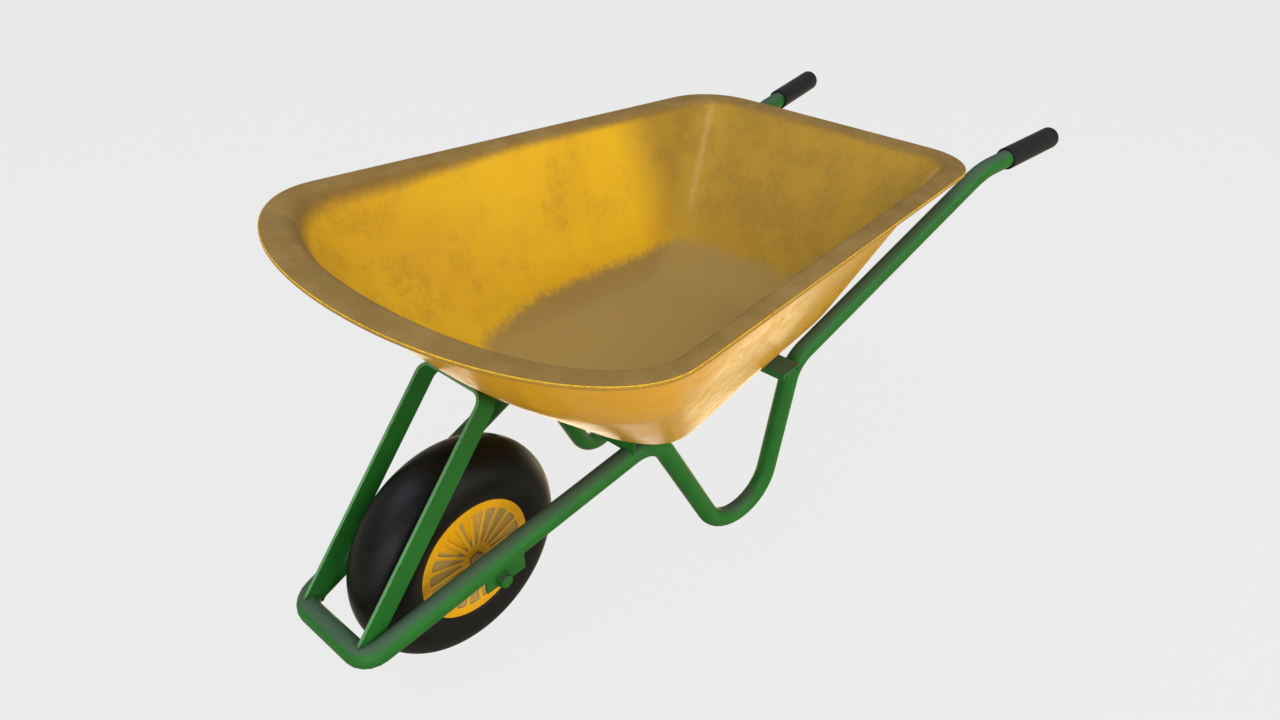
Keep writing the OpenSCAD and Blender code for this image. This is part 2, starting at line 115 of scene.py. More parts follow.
def soften_loop(points: np.ndarray, spread: float) -> np.ndarray:
    """Softens the corners of closed loops of points.

    Each point becomes a mean of its neighbours, weighted by a bell curve over their count.

    Args:
        points: Points with the loop along the last axis but one.
        spread: The bell curve's width, in points.

    Returns:
        The softened points.
    """
    reach = int(math.ceil(3 * spread))
    offsets = np.arange(-reach, reach + 1)
    weights = np.exp(-0.5 * (offsets / spread) ** 2)
    weights /= weights.sum()
    return sum(w * np.roll(points, k, axis=-2) for w, k in zip(weights, offsets))


def round_corners(corners: Sequence[tuple[float, float]], radius: float) -> np.ndarray:
    """Rounds every corner of a closed flat outline.

    Args:
        corners: The outline's corners in order.
        radius: How far from each corner its curve starts.

    Returns:
        The rounded outline as an array of 2-D points.
    """
    c = np.array(corners, float)
    before, after = np.roll(c, 1, axis=0) - c, np.roll(c, -1, axis=0) - c
    shorter = np.minimum(np.linalg.norm(before, axis=1), np.linalg.norm(after, axis=1))
    reach = np.minimum(radius, 0.45 * shorter)
    curves = bezier(c + unit(before) * reach[:, None], c, c + unit(after) * reach[:, None], 4)
    return curves.transpose(1, 0, 2).reshape(-1, 2)


@dataclass
class Shape:
    """A mesh being worked out: points, faces of three or more corners, and painted values."""

    points: np.ndarray
    faces: list[Sequence[int]]
    paint: dict[str, np.ndarray] = field(default_factory=dict)

    def joined(self, other: "Shape") -> "Shape":
        """Joins this shape to another.

        Args:
            other: The other shape.

        Returns:
            One shape; a value that only one of them carries is 0 on the other.
        """
        start = len(self.points)
        faces = list(self.faces) + [[i + start for i in f] for f in other.faces]
        names = set(self.paint) | set(other.paint)
        paint = {
            n: np.concatenate([
                self.paint.get(n, np.zeros(start)),
                other.paint.get(n, np.zeros(len(other.points))),
            ])
            for n in names
        }
        return Shape(np.concatenate([self.points, other.points]), faces, paint)


def grid_faces(rows: int, cols: int, around: bool = True, closed_rows: bool = False) -> list[list[int]]:
    """Lists the four-cornered faces of a grid of points.

    Args:
        rows: How many rows of points there are.
        cols: How many points a row has.
        around: True if each row is a closed loop.
        closed_rows: True if the last row joins the first.

    Returns:
        The faces, as indices into the points taken row by row.
    """
    r = np.arange(rows if closed_rows else rows - 1)[:, None]
    c = np.arange(cols if around else cols - 1)[None, :]
    r2, c2 = (r + 1) % rows, (c + 1) % cols
    quads = np.stack([r * cols + c, r * cols + c2, r2 * cols + c2, r2 * cols + c], axis=-1)
    return quads.reshape(-1, 4).tolist()


def loft(rings: np.ndarray, capped: bool = True) -> Shape:
    """Joins closed rings of points into a surface, with a face over each end.

    Args:
        rings: Points of shape (rings, points in a ring, 3).
        capped: True to close the first and last ring with a face.

    Returns:
        The surface.
    """
    n, m = rings.shape[:2]
    faces = grid_faces(n, m)
    if capped:
        faces += [list(range(m - 1, -1, -1)), list(range((n - 1) * m, n * m))]
    return Shape(rings.reshape(-1, 3), faces)


def turned(profile: np.ndarray, centre: np.ndarray, axis: np.ndarray, steps: int, closed: bool) -> Shape:
    """Turns a profile about an axis.

    A point (along, out) of the profile at angle a stands at
    centre + along * axis + out * (cos a * first + sin a * second), where first and second are
    square to the axis and to each other.

    Args:
        profile: Points (along, out), of shape (n, 2), or (n, steps, 2) if they change with the
            angle; a point whose out is 0 is a pole.
        centre: Where the axis starts.
        axis: The axis as a unit vector.
        steps: How many steps the turn has.
        closed: True if the profile is a loop.

    Returns:
        The turned surface.
    """
    helper = np.array([0.0, 0.0, 1.0]) if abs(axis[2]) < 0.9 else np.array([1.0, 0.0, 0.0])
    first = unit(np.cross(helper, axis))
    second = np.cross(axis, first)
    a = np.linspace(0, 2 * math.pi, steps, endpoint=False)
    ring = np.cos(a)[:, None] * first + np.sin(a)[:, None] * second
    if profile.ndim == 2:
        profile = profile[:, None]
    points = centre + profile[..., :1] * axis + profile[..., 1:] * ring
    return Shape(points.reshape(-1, 3), grid_faces(len(profile), steps, closed_rows=closed))


def swept(path: np.ndarray, outline: np.ndarray, side: np.ndarray) -> np.ndarray:
    """Carries a flat outline along a path.

    A point (p, q) of the outline stands at path + p * side + q * (side x way), where way is the
    path's direction there.

    Args:
        path: Points of shape (n, 3).
        outline: Points of shape (m, 2).
        side: Unit vectors square to the path, of shape (n, 3).

    Returns:
        Points of shape (n, m, 3).
    """
    way = unit(np.gradient(path, axis=0))
    side = unit(side - (side * way).sum(-1, keepdims=True) * way)
    other = np.cross(side, way)
    return path[:, None] + outline[None, :, :1] * side[:, None] + outline[None, :, 1:] * other[:, None]


def circle(radius: float, steps: int) -> np.ndarray:
    """Returns a circle of 2-D points."""
    a = np.linspace(0, 2 * math.pi, steps, endpoint=False)
    return radius * np.stack([np.cos(a), np.sin(a)], axis=-1)


def route(corners: np.ndarray, radii: Sequence[float], step: float) -> np.ndarray:
    """Runs a line through corners, with an arc at each one inside.

    An arc of radius R starts R / tan(half the corner's angle) away from the corner.

    Args:
        corners: The corners, of shape (n, 3).
        radii: The radius at each corner; the ends have none.
        step: The longest distance between points.

    Returns:
        The points along the route.
    """
    runs: list[np.ndarray] = []
    last = corners[0]
    for i in range(1, len(corners) - 1):
        a, b = unit(corners[i - 1] - corners[i]), unit(corners[i + 1] - corners[i])
        half = math.acos(float(np.clip(a @ b, -1, 1))) / 2
        start = corners[i] + a * radii[i] / math.tan(half)
        centre = corners[i] + unit(a + b) * radii[i] / math.sin(half)
        first = unit(start - centre)
        second = -a
        turn = np.linspace(0, math.pi - 2 * half, max(6, int(radii[i] * math.pi / 2 / step * 2)))
        arc = centre + radii[i] * (np.cos(turn)[:, None] * first + np.sin(turn)[:, None] * second)
        count = max(2, int(np.linalg.norm(start - last) / step))
        runs += [np.linspace(last, start, count, endpoint=False), arc[:-1]]
        last = arc[-1]
    count = max(2, int(np.linalg.norm(corners[-1] - last) / step))
    runs.append(np.linspace(last, corners[-1], count + 1))
    return np.concatenate(runs)


def hexagon(across: float, height: float, bore: float, start: np.ndarray, axis: np.ndarray) -> Shape:
    """Makes a hexagon head or nut.

    At angle a the flat sides stand at across / 2 / cos(a folded into -30..30 degrees), and the
    chamfers are cones, so each ring's radius is the smaller of the two.

    Args:
        across: The distance across the flats.
        height: How high it is.
        bore: The radius of its hole, or 0.
        start: The middle of its lower face.
        axis: The way that it rises, as a unit vector.

    Returns:
        Its closed shape.
    """
    a = np.linspace(0, 2 * math.pi, HEXAGON_STEPS, endpoint=False)
    flat = across / 2 / np.cos((a + math.pi / 6) % (math.pi / 3) - math.pi / 6)
    corner = across / math.sqrt(3)
    chamfer = 0.6 * MM
    levels = np.array([0.0, 0.33, 0.66, 1.0]) * chamfer
    levels = np.concatenate([levels, height - levels[::-1]])
    cone = corner * 1.002 - np.maximum(chamfer - np.minimum(levels, height - levels), 0) * 1.6
    out = np.minimum(flat[None, :], cone[:, None])
    rings = np.stack([np.broadcast_to(levels[:, None], out.shape), out], axis=-1)
    low, high = (np.full((1, HEXAGON_STEPS, 2), [z, max(bore, 1e-5)]) for z in (0.0, height))
    return turned(np.concatenate([low, rings, high]), start, axis, HEXAGON_STEPS, True)


# ---------------------------------------------------------------- shader language


class Value:
    """A number or colour inside a material, so that shader maths reads as Python sums."""

    def __init__(self, graph: "Graph", socket: bpy.types.NodeSocket) -> None:
        """Wraps an output socket of a graph."""
        self.graph = graph
        self.socket = socket

    def _math(self, operation: str, *others: "Value | float", swap: bool = False) -> "Value":
        """Adds a Math node that works on this value and others.

        Args:
            operation: What the node does.
            *others: The other values.
            swap: True to put this value last.

        Returns:
            The node's result.
        """
        values = [self, *others][::-1] if swap else [self, *others]
        node = self.graph.node("ShaderNodeMath", {"operation": operation}, dict(enumerate(values)))
        return Value(self.graph, node.outputs[0])

    def __add__(self, other: "Value | float") -> "Value":
        """Returns this plus other."""
        return self._math("ADD", other)

    __radd__ = __add__

    def __sub__(self, other: "Value | float") -> "Value":
        """Returns this minus other."""
        return self._math("SUBTRACT", other)

    def __rsub__(self, other: float) -> "Value":
        """Returns other minus this."""
        return self._math("SUBTRACT", other, swap=True)

    def __mul__(self, other: "Value | float") -> "Value":
        """Returns this times other."""
        return self._math("MULTIPLY", other)

    __rmul__ = __mul__

    def top(self, other: "Value | float") -> "Value":
        """Returns the larger of this and other."""
        return self._math("MAXIMUM", other)

    def clamped(self) -> "Value":
        """Returns this kept between 0 and 1."""
        return self._math("MAXIMUM", 0.0)._math("MINIMUM", 1.0)

    def ramp(self, low: float, high: float) -> "Value":
        """Bends this value into an S-curve.

        Args:
            low: The value at which the curve leaves 0.
            high: The value at which it reaches 1.

        Returns:
            The curve's height.
        """
        node = self.graph.node(
            "ShaderNodeMapRange",
            {"interpolation_type": "SMOOTHSTEP"},
            {"Value": self, "From Min": low, "From Max": high, "To Min": 0.0, "To Max": 1.0},
        )
        return Value(self.graph, node.outputs[0])


class Graph:
    """The nodes of a material or of the world."""

    def __init__(self, tree: bpy.types.NodeTree) -> None:
        """Takes over a node tree and empties it."""
        self.tree = tree
        tree.nodes.clear()

    def node(self, kind: str, settings: dict[str, Any], inputs: dict[Any, Any]) -> bpy.types.Node:
        """Adds a node, applies its settings and then fills its sockets.

        Args:
            kind: The node's type.
            settings: Attributes to set on it; "stops" sets a ramp's places and colours.
            inputs: A Value or socket to link, or a plain value to set, for each socket's name or
                number.

        Returns:
            The node.
        """
        node = self.tree.nodes.new(kind)
        for key, value in settings.items():
            if key == "stops":
                (start, first), *middle, (end, last) = value
                held = node.color_ramp.elements
                held[0].position, held[0].color = start, (*first, 1)
                held[1].position, held[1].color = end, (*last, 1)
                for place, colour in middle:
                    held.new(place).color = (*colour, 1)
            else:
                setattr(node, key, value)
        for key, value in inputs.items():
            socket = node.inputs[key]
            if isinstance(value, Value):
                self.tree.links.new(value.socket, socket)
            elif isinstance(value, bpy.types.NodeSocket):
                self.tree.links.new(value, socket)
            else:
                socket.default_value = (*value, 1.0) if socket.type == "RGBA" else value
        return node


class Shader(Graph):
    """One node material being written."""

    def __init__(self, name: str) -> None:
        """Starts an empty material.

        Args:
            name: Its name.
        """
        self.material = bpy.data.materials.new(name)
        self.material.use_nodes = True
        super().__init__(self.material.node_tree)
        self._place = self.node("ShaderNodeTexCoord", {}, {})

    def upward(self) -> Value:
        """Returns how far the surface faces up, from -1 to 1."""
        split = self.node("ShaderNodeSeparateXYZ", {}, {0: self._place.outputs["Normal"]})
        return Value(self, split.outputs["Z"])

    def painted(self, name: str) -> Value:
        """Returns a value that the piece's mesh carries."""
        node = self.node("ShaderNodeAttribute", {"attribute_name": name}, {})
        return Value(self, node.outputs["Fac"])

    def noise(
        self,
        size: float,
        detail: float,
        roughness: float,
        stretch: Sequence[float] = (1.0, 1.0, 1.0),
        shift: Sequence[float] = (0.0, 0.0, 0.0),
        distortion: float = 0.0,
    ) -> Value:
        """Returns cloud noise in the piece's own coordinates.

        Args:
            size: The size of its patches, in metres.
            detail: How many finer layers it has.
            roughness: How strong the finer layers are.
            stretch: How much shorter the patches are along each axis.
            shift: Moves the pattern.
            distortion: How much the patches swirl.

        Returns:
            A value of about 0.5, mostly from 0.25 to 0.75.
        """
        here = self._place.outputs["Object"]
        place = self.node("ShaderNodeMapping", {}, {"Vector": here, "Scale": stretch, "Location": shift})
        inputs = {
            "Vector": place.outputs[0],
            "Scale": 1.0 / size,
            "Detail": detail,
            "Roughness": roughness,
            "Distortion": distortion,
        }
        node = self.node("ShaderNodeTexNoise", {"noise_dimensions": "3D"}, inputs)
        return Value(self, node.outputs["Fac"])

    def mixed(self, share: Value, a: "Value | Colour", b: "Value | Colour") -> Value:
        """Mixes two colours.

        Args:
            share: How much of b there is, from 0 to 1.
            a: The colour where share is 0.
            b: The colour where it is 1.

        Returns:
            The mixed colour.
        """
        settings = {"data_type": "RGBA", "clamp_factor": True}
        node = self.node("ShaderNodeMix", settings, {0: share, 6: a, 7: b})
        return Value(self, node.outputs[2])

    def finish(
        self, colour: Value, roughness: Value, height: Value, bump: float, **others: "Value | float"
    ) -> bpy.types.Material:
        """Ends the material with its surface.

        Args:
            colour: The base colour.
            roughness: The roughness.
            height: The height of fine relief, from 0 to 1.
            bump: How high 1 is, in metres.
            **others: Other sockets' values or constants, with _ for each space.

        Returns:
            The material.
        """
        relief = self.node("ShaderNodeBump", {}, {"Height": height, "Strength": 1.0, "Distance": bump})
        inputs = {"Base Color": colour, "Roughness": roughness, "Normal": relief.outputs[0]}
        inputs |= {key.replace("_", " "): value for key, value in others.items()}
        surface = self.node("ShaderNodeBsdfPrincipled", {}, inputs)
        self.node("ShaderNodeOutputMaterial", {}, {"Surface": surface.outputs[0]})
        return self.material


# ---------------------------------------------------------------- finishes


@dataclass(frozen=True)
class TrayPaint:
    """Yellow enamel under khaki dust: thick on the floor and flange, smudged on the walls, with painted shade
    on the rear wall and the outside.
    """

    paint: Colour = (0.70, 0.395, 0.012)
    deep_paint: Colour = (0.64, 0.345, 0.011)
    dust: Colour = (0.192, 0.112, 0.030)
    pale_dust: Colour = (0.24, 0.142, 0.044)
    # The film is dirt, and where scuff lays it over the rear wall it is painted shade.
    film: Colour = (0.30, 0.175, 0.025)
    bed_dust: Colour = (0.318, 0.20, 0.057)
    rub: Colour = (0.46, 0.28, 0.09)
    # The outside's darker, more orange copy of the paint is painted shade.
    outer: Colour = (0.53, 0.24, 0.018)

    def material(self) -> bpy.types.Material:
        """Writes the tray's material.

        Returns:
            The material.
        """
        s = Shader("tray_paint")
        names = ("inside", "bed", "mouth", "edge", "rub", "scuff")
        inside, bed, mouth, edge, rub, scuff = (s.painted(n) for n in names)
        patch = s.noise(0.16, 3, 0.5)
        cloud = s.noise(0.055, 5, 0.62, shift=(3.1, 0.4, 1.7))
        fur = s.noise(0.008, 5, 0.70, stretch=(1.0, 1.0, 0.55))
        grain = s.noise(0.0035, 3, 0.6)
        scratch = s.noise(0.03, 4, 0.7, stretch=(1.0, 1.0, 7.0), shift=(0.3, 5.2, 0.0), distortion=0.6)

        # Where dust, smudges, rubbing and bare edges lie, each from 0 to 1.
        bed_dust = (bed + (cloud - 0.5) * 0.16 + (fur - 0.5) * 0.30 + (grain - 0.5) * 0.16).ramp(0.38, 0.62)
        flange_dust = (mouth + (fur - 0.5) * 0.30 + (cloud - 0.5) * 0.25).ramp(0.18, 0.92) * inside
        worked = cloud * 0.55 + patch * 0.45 + scuff * 0.07
        smudge = worked.ramp(0.50, 0.64) * fur.ramp(0.34, 0.62) * (0.34 - scuff * 0.08)
        speck = (grain * 0.55 + cloud * 0.45 + scuff * 0.03).ramp(0.57, 0.68) * (scuff * 0.10 + 0.20)
        # scuff lays the film on thickly: dust on the nose, scuffs and painted shade on the rear wall.
        film = (smudge.top(speck) + scuff * 0.85).clamped() * inside
        rubbed = (rub + (fur - 0.5) * 1.3 + (grain - 0.5) * 1.2).ramp(0.50, 1.0) * 0.55 * inside
        worn = (edge + (grain - 0.5) * 1.0 + (fur - 0.5) * 0.7).ramp(0.50, 0.66)

        # The coat inside, the streaked coat outside in a darker copy that is painted shade, and the dust on
        # the inside and the flange.
        paint = s.mixed(patch.ramp(0.35, 0.70), self.paint, self.deep_paint)
        coat = s.mixed(film, paint, self.film)
        coat = s.mixed(rubbed, coat, self.rub)
        drag = s.noise(0.05, 6, 0.75, stretch=(0.8, 1.0, 2.2), shift=(1.3, 2.2, 0.0), distortion=0.8)
        streak = drag.ramp(0.48, 0.60) * (1 - inside)
        # On the outside, a darker copy of the paint is painted shade; the streaks darken it further.
        coat = s.mixed((1 - inside) * (streak * 0.22 + 0.52), coat, self.outer)
        sheen = s.noise(0.035, 6, 0.72, stretch=(0.7, 1.0, 1.8), shift=(7.0, 0.0, 2.0), distortion=1.0)
        dust = s.mixed(cloud.ramp(0.35, 0.68), self.dust, self.pale_dust)
        dust = s.mixed(bed.ramp(0.1, 0.3), dust, self.bed_dust)
        cover = (bed_dust * inside).top(flange_dust) * (1 - worn)
        colour = s.mixed(cover, coat, dust)

        # Dust is matt and grainy, and the outside has a clear gloss that streaks dull.
        rough = (film * 0.25 + 0.50) * inside + (1 - inside) * (streak * 0.18 + 0.44)
        rough = rough * (1 - cover) + cover * 0.88
        relief = grain * (0.20 + cover * 0.4) + fur * (cover * 0.6 + 0.10) + scratch * 0.12 + patch * 0.9
        gloss = (1 - inside) * (1 - streak * 0.35) * (sheen.ramp(0.36, 0.62) * 0.48 + 0.52)
        return s.finish(
            colour, rough, relief, 0.0012, Coat_Weight=gloss, Specular_IOR_Level=0.08, Coat_Roughness=0.22
        )


@dataclass(frozen=True)
class GreenPaint:
    """Satin green enamel, with grey-green dust on what faces up and worn edges."""

    paint: Colour = (0.0135, 0.112, 0.0145)
    deep_paint: Colour = (0.0115, 0.097, 0.0125)
    dust: Colour = (0.050, 0.078, 0.051)
    worn: Colour = (0.12, 0.27, 0.11)

    def material(self) -> bpy.types.Material:
        """Writes the frame's material.

        Returns:
            The material.
        """
        s = Shader("green_enamel")
        up, edge = s.upward(), s.painted("edge")
        cloud, fur, grain = s.noise(0.045, 4, 0.6), s.noise(0.011, 4, 0.65), s.noise(0.003, 3, 0.6)
        dusty = (up + (cloud - 0.5) * 0.20 + (fur - 0.5) * 0.16).ramp(0.58, 0.90)
        worn = (edge + (grain - 0.5) * 0.8 + (fur - 0.5) * 0.5).ramp(0.62, 0.86)
        scuff = (s.noise(0.02, 5, 0.72, shift=(2.0, 1.0, 0.5)).ramp(0.66, 0.76)) * 0.04
        paint = s.mixed(cloud.ramp(0.35, 0.70), self.paint, self.deep_paint)
        coat = s.mixed((worn + scuff).clamped() * 0.8, paint, self.worn)
        colour = s.mixed(dusty * 0.85, coat, self.dust)
        rough = dusty * 0.32 + 0.38 + (grain - 0.5) * 0.1
        return s.finish(colour, rough, grain * 0.4 + fur * 0.6, 0.00025, Specular_IOR_Level=0.13)


@dataclass(frozen=True)
class Rubber:
    """Black rubber with a trace of dust."""

    name: str
    black: Colour = (0.0036, 0.0036, 0.0032)
    dust: Colour = (0.0075, 0.007, 0.0058)
    roughness: float = 0.38
    specular: float = 0.13

    def material(self) -> bpy.types.Material:
        """Writes the rubber's material.

        Returns:
            The material.
        """
        s = Shader(self.name)
        cloud, fur, grain = s.noise(0.06, 4, 0.6), s.noise(0.012, 5, 0.65), s.noise(0.0022, 2, 0.5)
        film = (cloud * 0.6 + fur * 0.4).ramp(0.42, 0.68)
        colour = s.mixed(film * 0.55, self.black, self.dust)
        rough = film * 0.16 + self.roughness
        return s.finish(colour, rough, grain * 0.4 + fur * 0.6, 0.00010, Specular_IOR_Level=self.specular)


@dataclass(frozen=True)
class WheelYellow:
    """Moulded yellow with brown dust packed into the pockets."""

    yellow: Colour = (0.60, 0.29, 0.003)
    deep_yellow: Colour = (0.56, 0.27, 0.003)
    dust: Colour = (0.32, 0.215, 0.062)
    worn: Colour = (0.86, 0.62, 0.22)

    def material(self) -> bpy.types.Material:
        """Writes the wheel centre's material.

        Returns:
            The material.
        """
        s = Shader("wheel_yellow")
        grime, edge = s.painted("grime"), s.painted("edge")
        cloud, fur, grain = s.noise(0.03, 4, 0.6), s.noise(0.006, 4, 0.65), s.noise(0.0015, 2, 0.5)
        cover = (grime + (fur - 0.5) * 0.35).ramp(0.36, 0.62)
        film = (cloud * 0.6 + fur * 0.4).ramp(0.50, 0.72) * 0.18
        worn = (edge + (fur - 0.5) * 0.8).ramp(0.70, 0.95) * 0.5
        paint = s.mixed(cloud.ramp(0.35, 0.7), self.yellow, self.deep_yellow)
        paint = s.mixed(worn, paint, self.worn)
        colour = s.mixed((cover * 0.93).top(film), paint, self.dust)
        rough = cover * 0.42 + 0.45
        return s.finish(colour, rough, grain * 0.4 + fur * cover, 0.0003, Specular_IOR_Level=0.12)


@dataclass(frozen=True)
class DustyMetal:
    """Plain metal dulled by brown dust."""

    name: str
    metal: Colour
    dust: Colour = (0.25, 0.175, 0.075)
    share: float = 0.5

    def material(self) -> bpy.types.Material:
        """Writes the metal's material.

        Returns:
            The material.
        """
        s = Shader(self.name)
        cloud, fur = s.noise(0.02, 4, 0.6), s.noise(0.005, 4, 0.65)
        cover = (cloud * 0.6 + fur * 0.4).ramp(0.62 - 0.3 * self.share, 0.80 - 0.3 * self.share)
        colour = s.mixed(cover, self.metal, self.dust)
        return s.finish(colour, cover * 0.45 + 0.36, fur, 0.0002, Metallic=(1 - cover) * 0.85)


@dataclass(frozen=True)
class Plastic:
    """Plain moulded plastic with a matt grain."""

    name: str
    colour: Colour
    dust: Colour = (0.10, 0.07, 0.03)

    def material(self) -> bpy.types.Material:
        """Writes the plastic's material.

        Returns:
            The material.
        """
        s = Shader(self.name)
        fur = s.noise(0.006, 4, 0.65)
        colour = s.mixed(fur.ramp(0.45, 0.7) * 0.6, self.colour, self.dust)
        return s.finish(colour, fur * 0.3 + 0.45, fur, 0.0002)


@dataclass(frozen=True)
class Coating:
    """A material, and the record's slot that a piece takes it for."""

    slot: Slot
    material: bpy.types.Material


class Palette:
    """The coatings of the pieces, and the materials of the CAD nodes that stay in view."""

    def __init__(self) -> None:
        """Makes each of them once."""
        self.tray = Coating(Slot.YELLOW, TrayPaint().material())
        self.green = Coating(Slot.GREEN, GreenPaint().material())
        self.tyre = Coating(Slot.TYRE, Rubber("tyre_black").material())
        grip = Rubber("grip_black", (0.007, 0.007, 0.008), (0.014, 0.014, 0.013), 0.40, 0.12)
        self.grip = Coating(Slot.GRIP, grip.material())
        self.wheel = Coating(Slot.RIM, WheelYellow().material())
        zinc = DustyMetal("dull_zinc", (0.45, 0.44, 0.42), share=0.55)
        self.zinc = Coating(Slot.ZINC, zinc.material())
        self.hub = DustyMetal("dusty_hub", (0.30, 0.24, 0.13), (0.31, 0.225, 0.09), 1.3).material()
        self.brass = DustyMetal("dull_brass", (0.60, 0.42, 0.16), share=0.3).material()
        self.tube = Rubber("tube_black", (0.015, 0.015, 0.015), (0.05, 0.045, 0.035), 0.6, 0.3).material()
        self.bush = Plastic("bush_plastic", (0.20, 0.145, 0.065), (0.30, 0.22, 0.085)).material()
        self.cap = Plastic("cap_plastic", (0.015, 0.015, 0.015)).material()


# ---------------------------------------------------------------- making pieces


def add_object(name: str, data: bpy.types.ID) -> bpy.types.Object:
    """Adds an object to the scene.

    Args:
        name: Its name.
        data: Its mesh, light or camera.

    Returns:
        The object.
    """
    obj = bpy.data.objects.new(name, data)
    bpy.context.scene.collection.objects.link(obj)
    return obj


def make_piece(
    node: str,
    shape: Shape,
    coating: Coating,
    body: Body = Body.BARROW,
    merge: float = 0.0,
    bevel: float = 0.0,
    flats: bool = False,
) -> None:
    """Turns a shape into the piece that stands for a CAD node.

    Args:
        node: The CAD node's name.
        shape: The piece's mesh.
        coating: Its coating; only the material is used.
        body: What it rides on.
        merge: Points closer than this become one.
        bevel: The width of the bevel on its sharp edges, or 0.
        flats: True to keep its flat faces looking flat beside their rounded edges.
    """
    name = node + "_shell"
    mesh = bpy.data.meshes.new(name)
    mesh.from_pydata(shape.points.tolist(), [], shape.faces)
    for key, values in shape.paint.items():
        layer = mesh.attributes.new(key, "FLOAT", "POINT")
        layer.data.foreach_set("value", np.ascontiguousarray(values, np.float32))
    work = bmesh.new()
    work.from_mesh(mesh)
    if merge:
        bmesh.ops.remove_doubles(work, verts=work.verts, dist=merge)
    bmesh.ops.recalc_face_normals(work, faces=work.faces)
    work.to_mesh(mesh)
    work.free()
    mesh.polygons.foreach_set("use_smooth", [True] * len(mesh.polygons))
    mesh.update()
    mesh.materials.append(coating.material)
    obj = add_object(name, mesh)
    if bevel:
        edge = obj.modifiers.new("bevel", "BEVEL")
        edge.width, edge.segments, edge.limit_method = bevel, 3, "ANGLE"
        edge.angle_limit, edge.harden_normals = math.radians(35), True
    if flats:
        obj.modifiers.new("flats", "WEIGHTED_NORMAL").weight = 100
    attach(obj, body.value)
    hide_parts(node)
    LOG.info("%s: %d points, %d faces", name, len(mesh.vertices), len(mesh.polygons))


def prism(outline: np.ndarray, y_from: float, y_to: float) -> Shape:
    """Pushes a flat outline straight along Y.

    Args:
        outline: Points (x, z).
        y_from: Where along Y it starts.
        y_to: Where it ends.

    Returns:
        The closed prism.
    """
    x, z = outline.T
    return loft(np.stack([np.column_stack([x, np.full_like(x, y), z]) for y in (y_from, y_to)]))


@dataclass(frozen=True)
class Outline:
    """One of the tray's closed outlines, seen from above and counted from the axle."""

    rear_x: float
    rear_half: float
    front_half: float
    side_x: float
    nose_x: float
    corner_r: float
    curve: float

    def inset(self, d: float) -> "Outline":
        """Returns the outline moved inwards by d."""
        return Outline(
            self.rear_x - d, self.rear_half - d, self.front_half - d, self.side_x,
            self.nose_x + d, self.corner_r - d, self.curve,
        )

    def points(self, counts: tuple[int, int, int, int]) -> np.ndarray:
        """Samples the outline, from the middle of the rear round by the +Y side.

        The corner is a quarter circle, the side is straight, and the nose is a superellipse
        whose x falls by sin(t)^curve while y falls by cos(t)^curve.

        Args:
            counts: Steps along the rear, the corner, the side and the nose.

        Returns:
            The points (x, y) of the whole closed outline.
        """
        rear, corner, side, nose = counts
        r = self.corner_r
        t = np.linspace(0, 1, rear, endpoint=False)
        run_rear = np.column_stack([np.full(rear, self.rear_x), (self.rear_half - r) * t])
        a = np.linspace(0, math.pi / 2, corner, endpoint=False)
        run_corner = np.column_stack([self.rear_x - r + r * np.cos(a), self.rear_half - r + r * np.sin(a)])
        t = np.linspace(0, 1, side, endpoint=False)
        x0 = self.rear_x - r
        run_side = np.column_stack([
            x0 + (self.side_x - x0) * t,
            self.rear_half + (self.front_half - self.rear_half) * t,
        ])
        a = np.linspace(0, math.pi / 2, nose + 1)
        run_nose = np.column_stack([
            self.side_x - (self.side_x - self.nose_x) * np.sin(a) ** self.curve,
            self.front_half * np.clip(np.cos(a), 0, 1) ** self.curve,
        ])
        half = np.concatenate([run_rear, run_corner, run_side, run_nose])
        return np.concatenate([half, half[-2:0:-1] * [1, -1]])


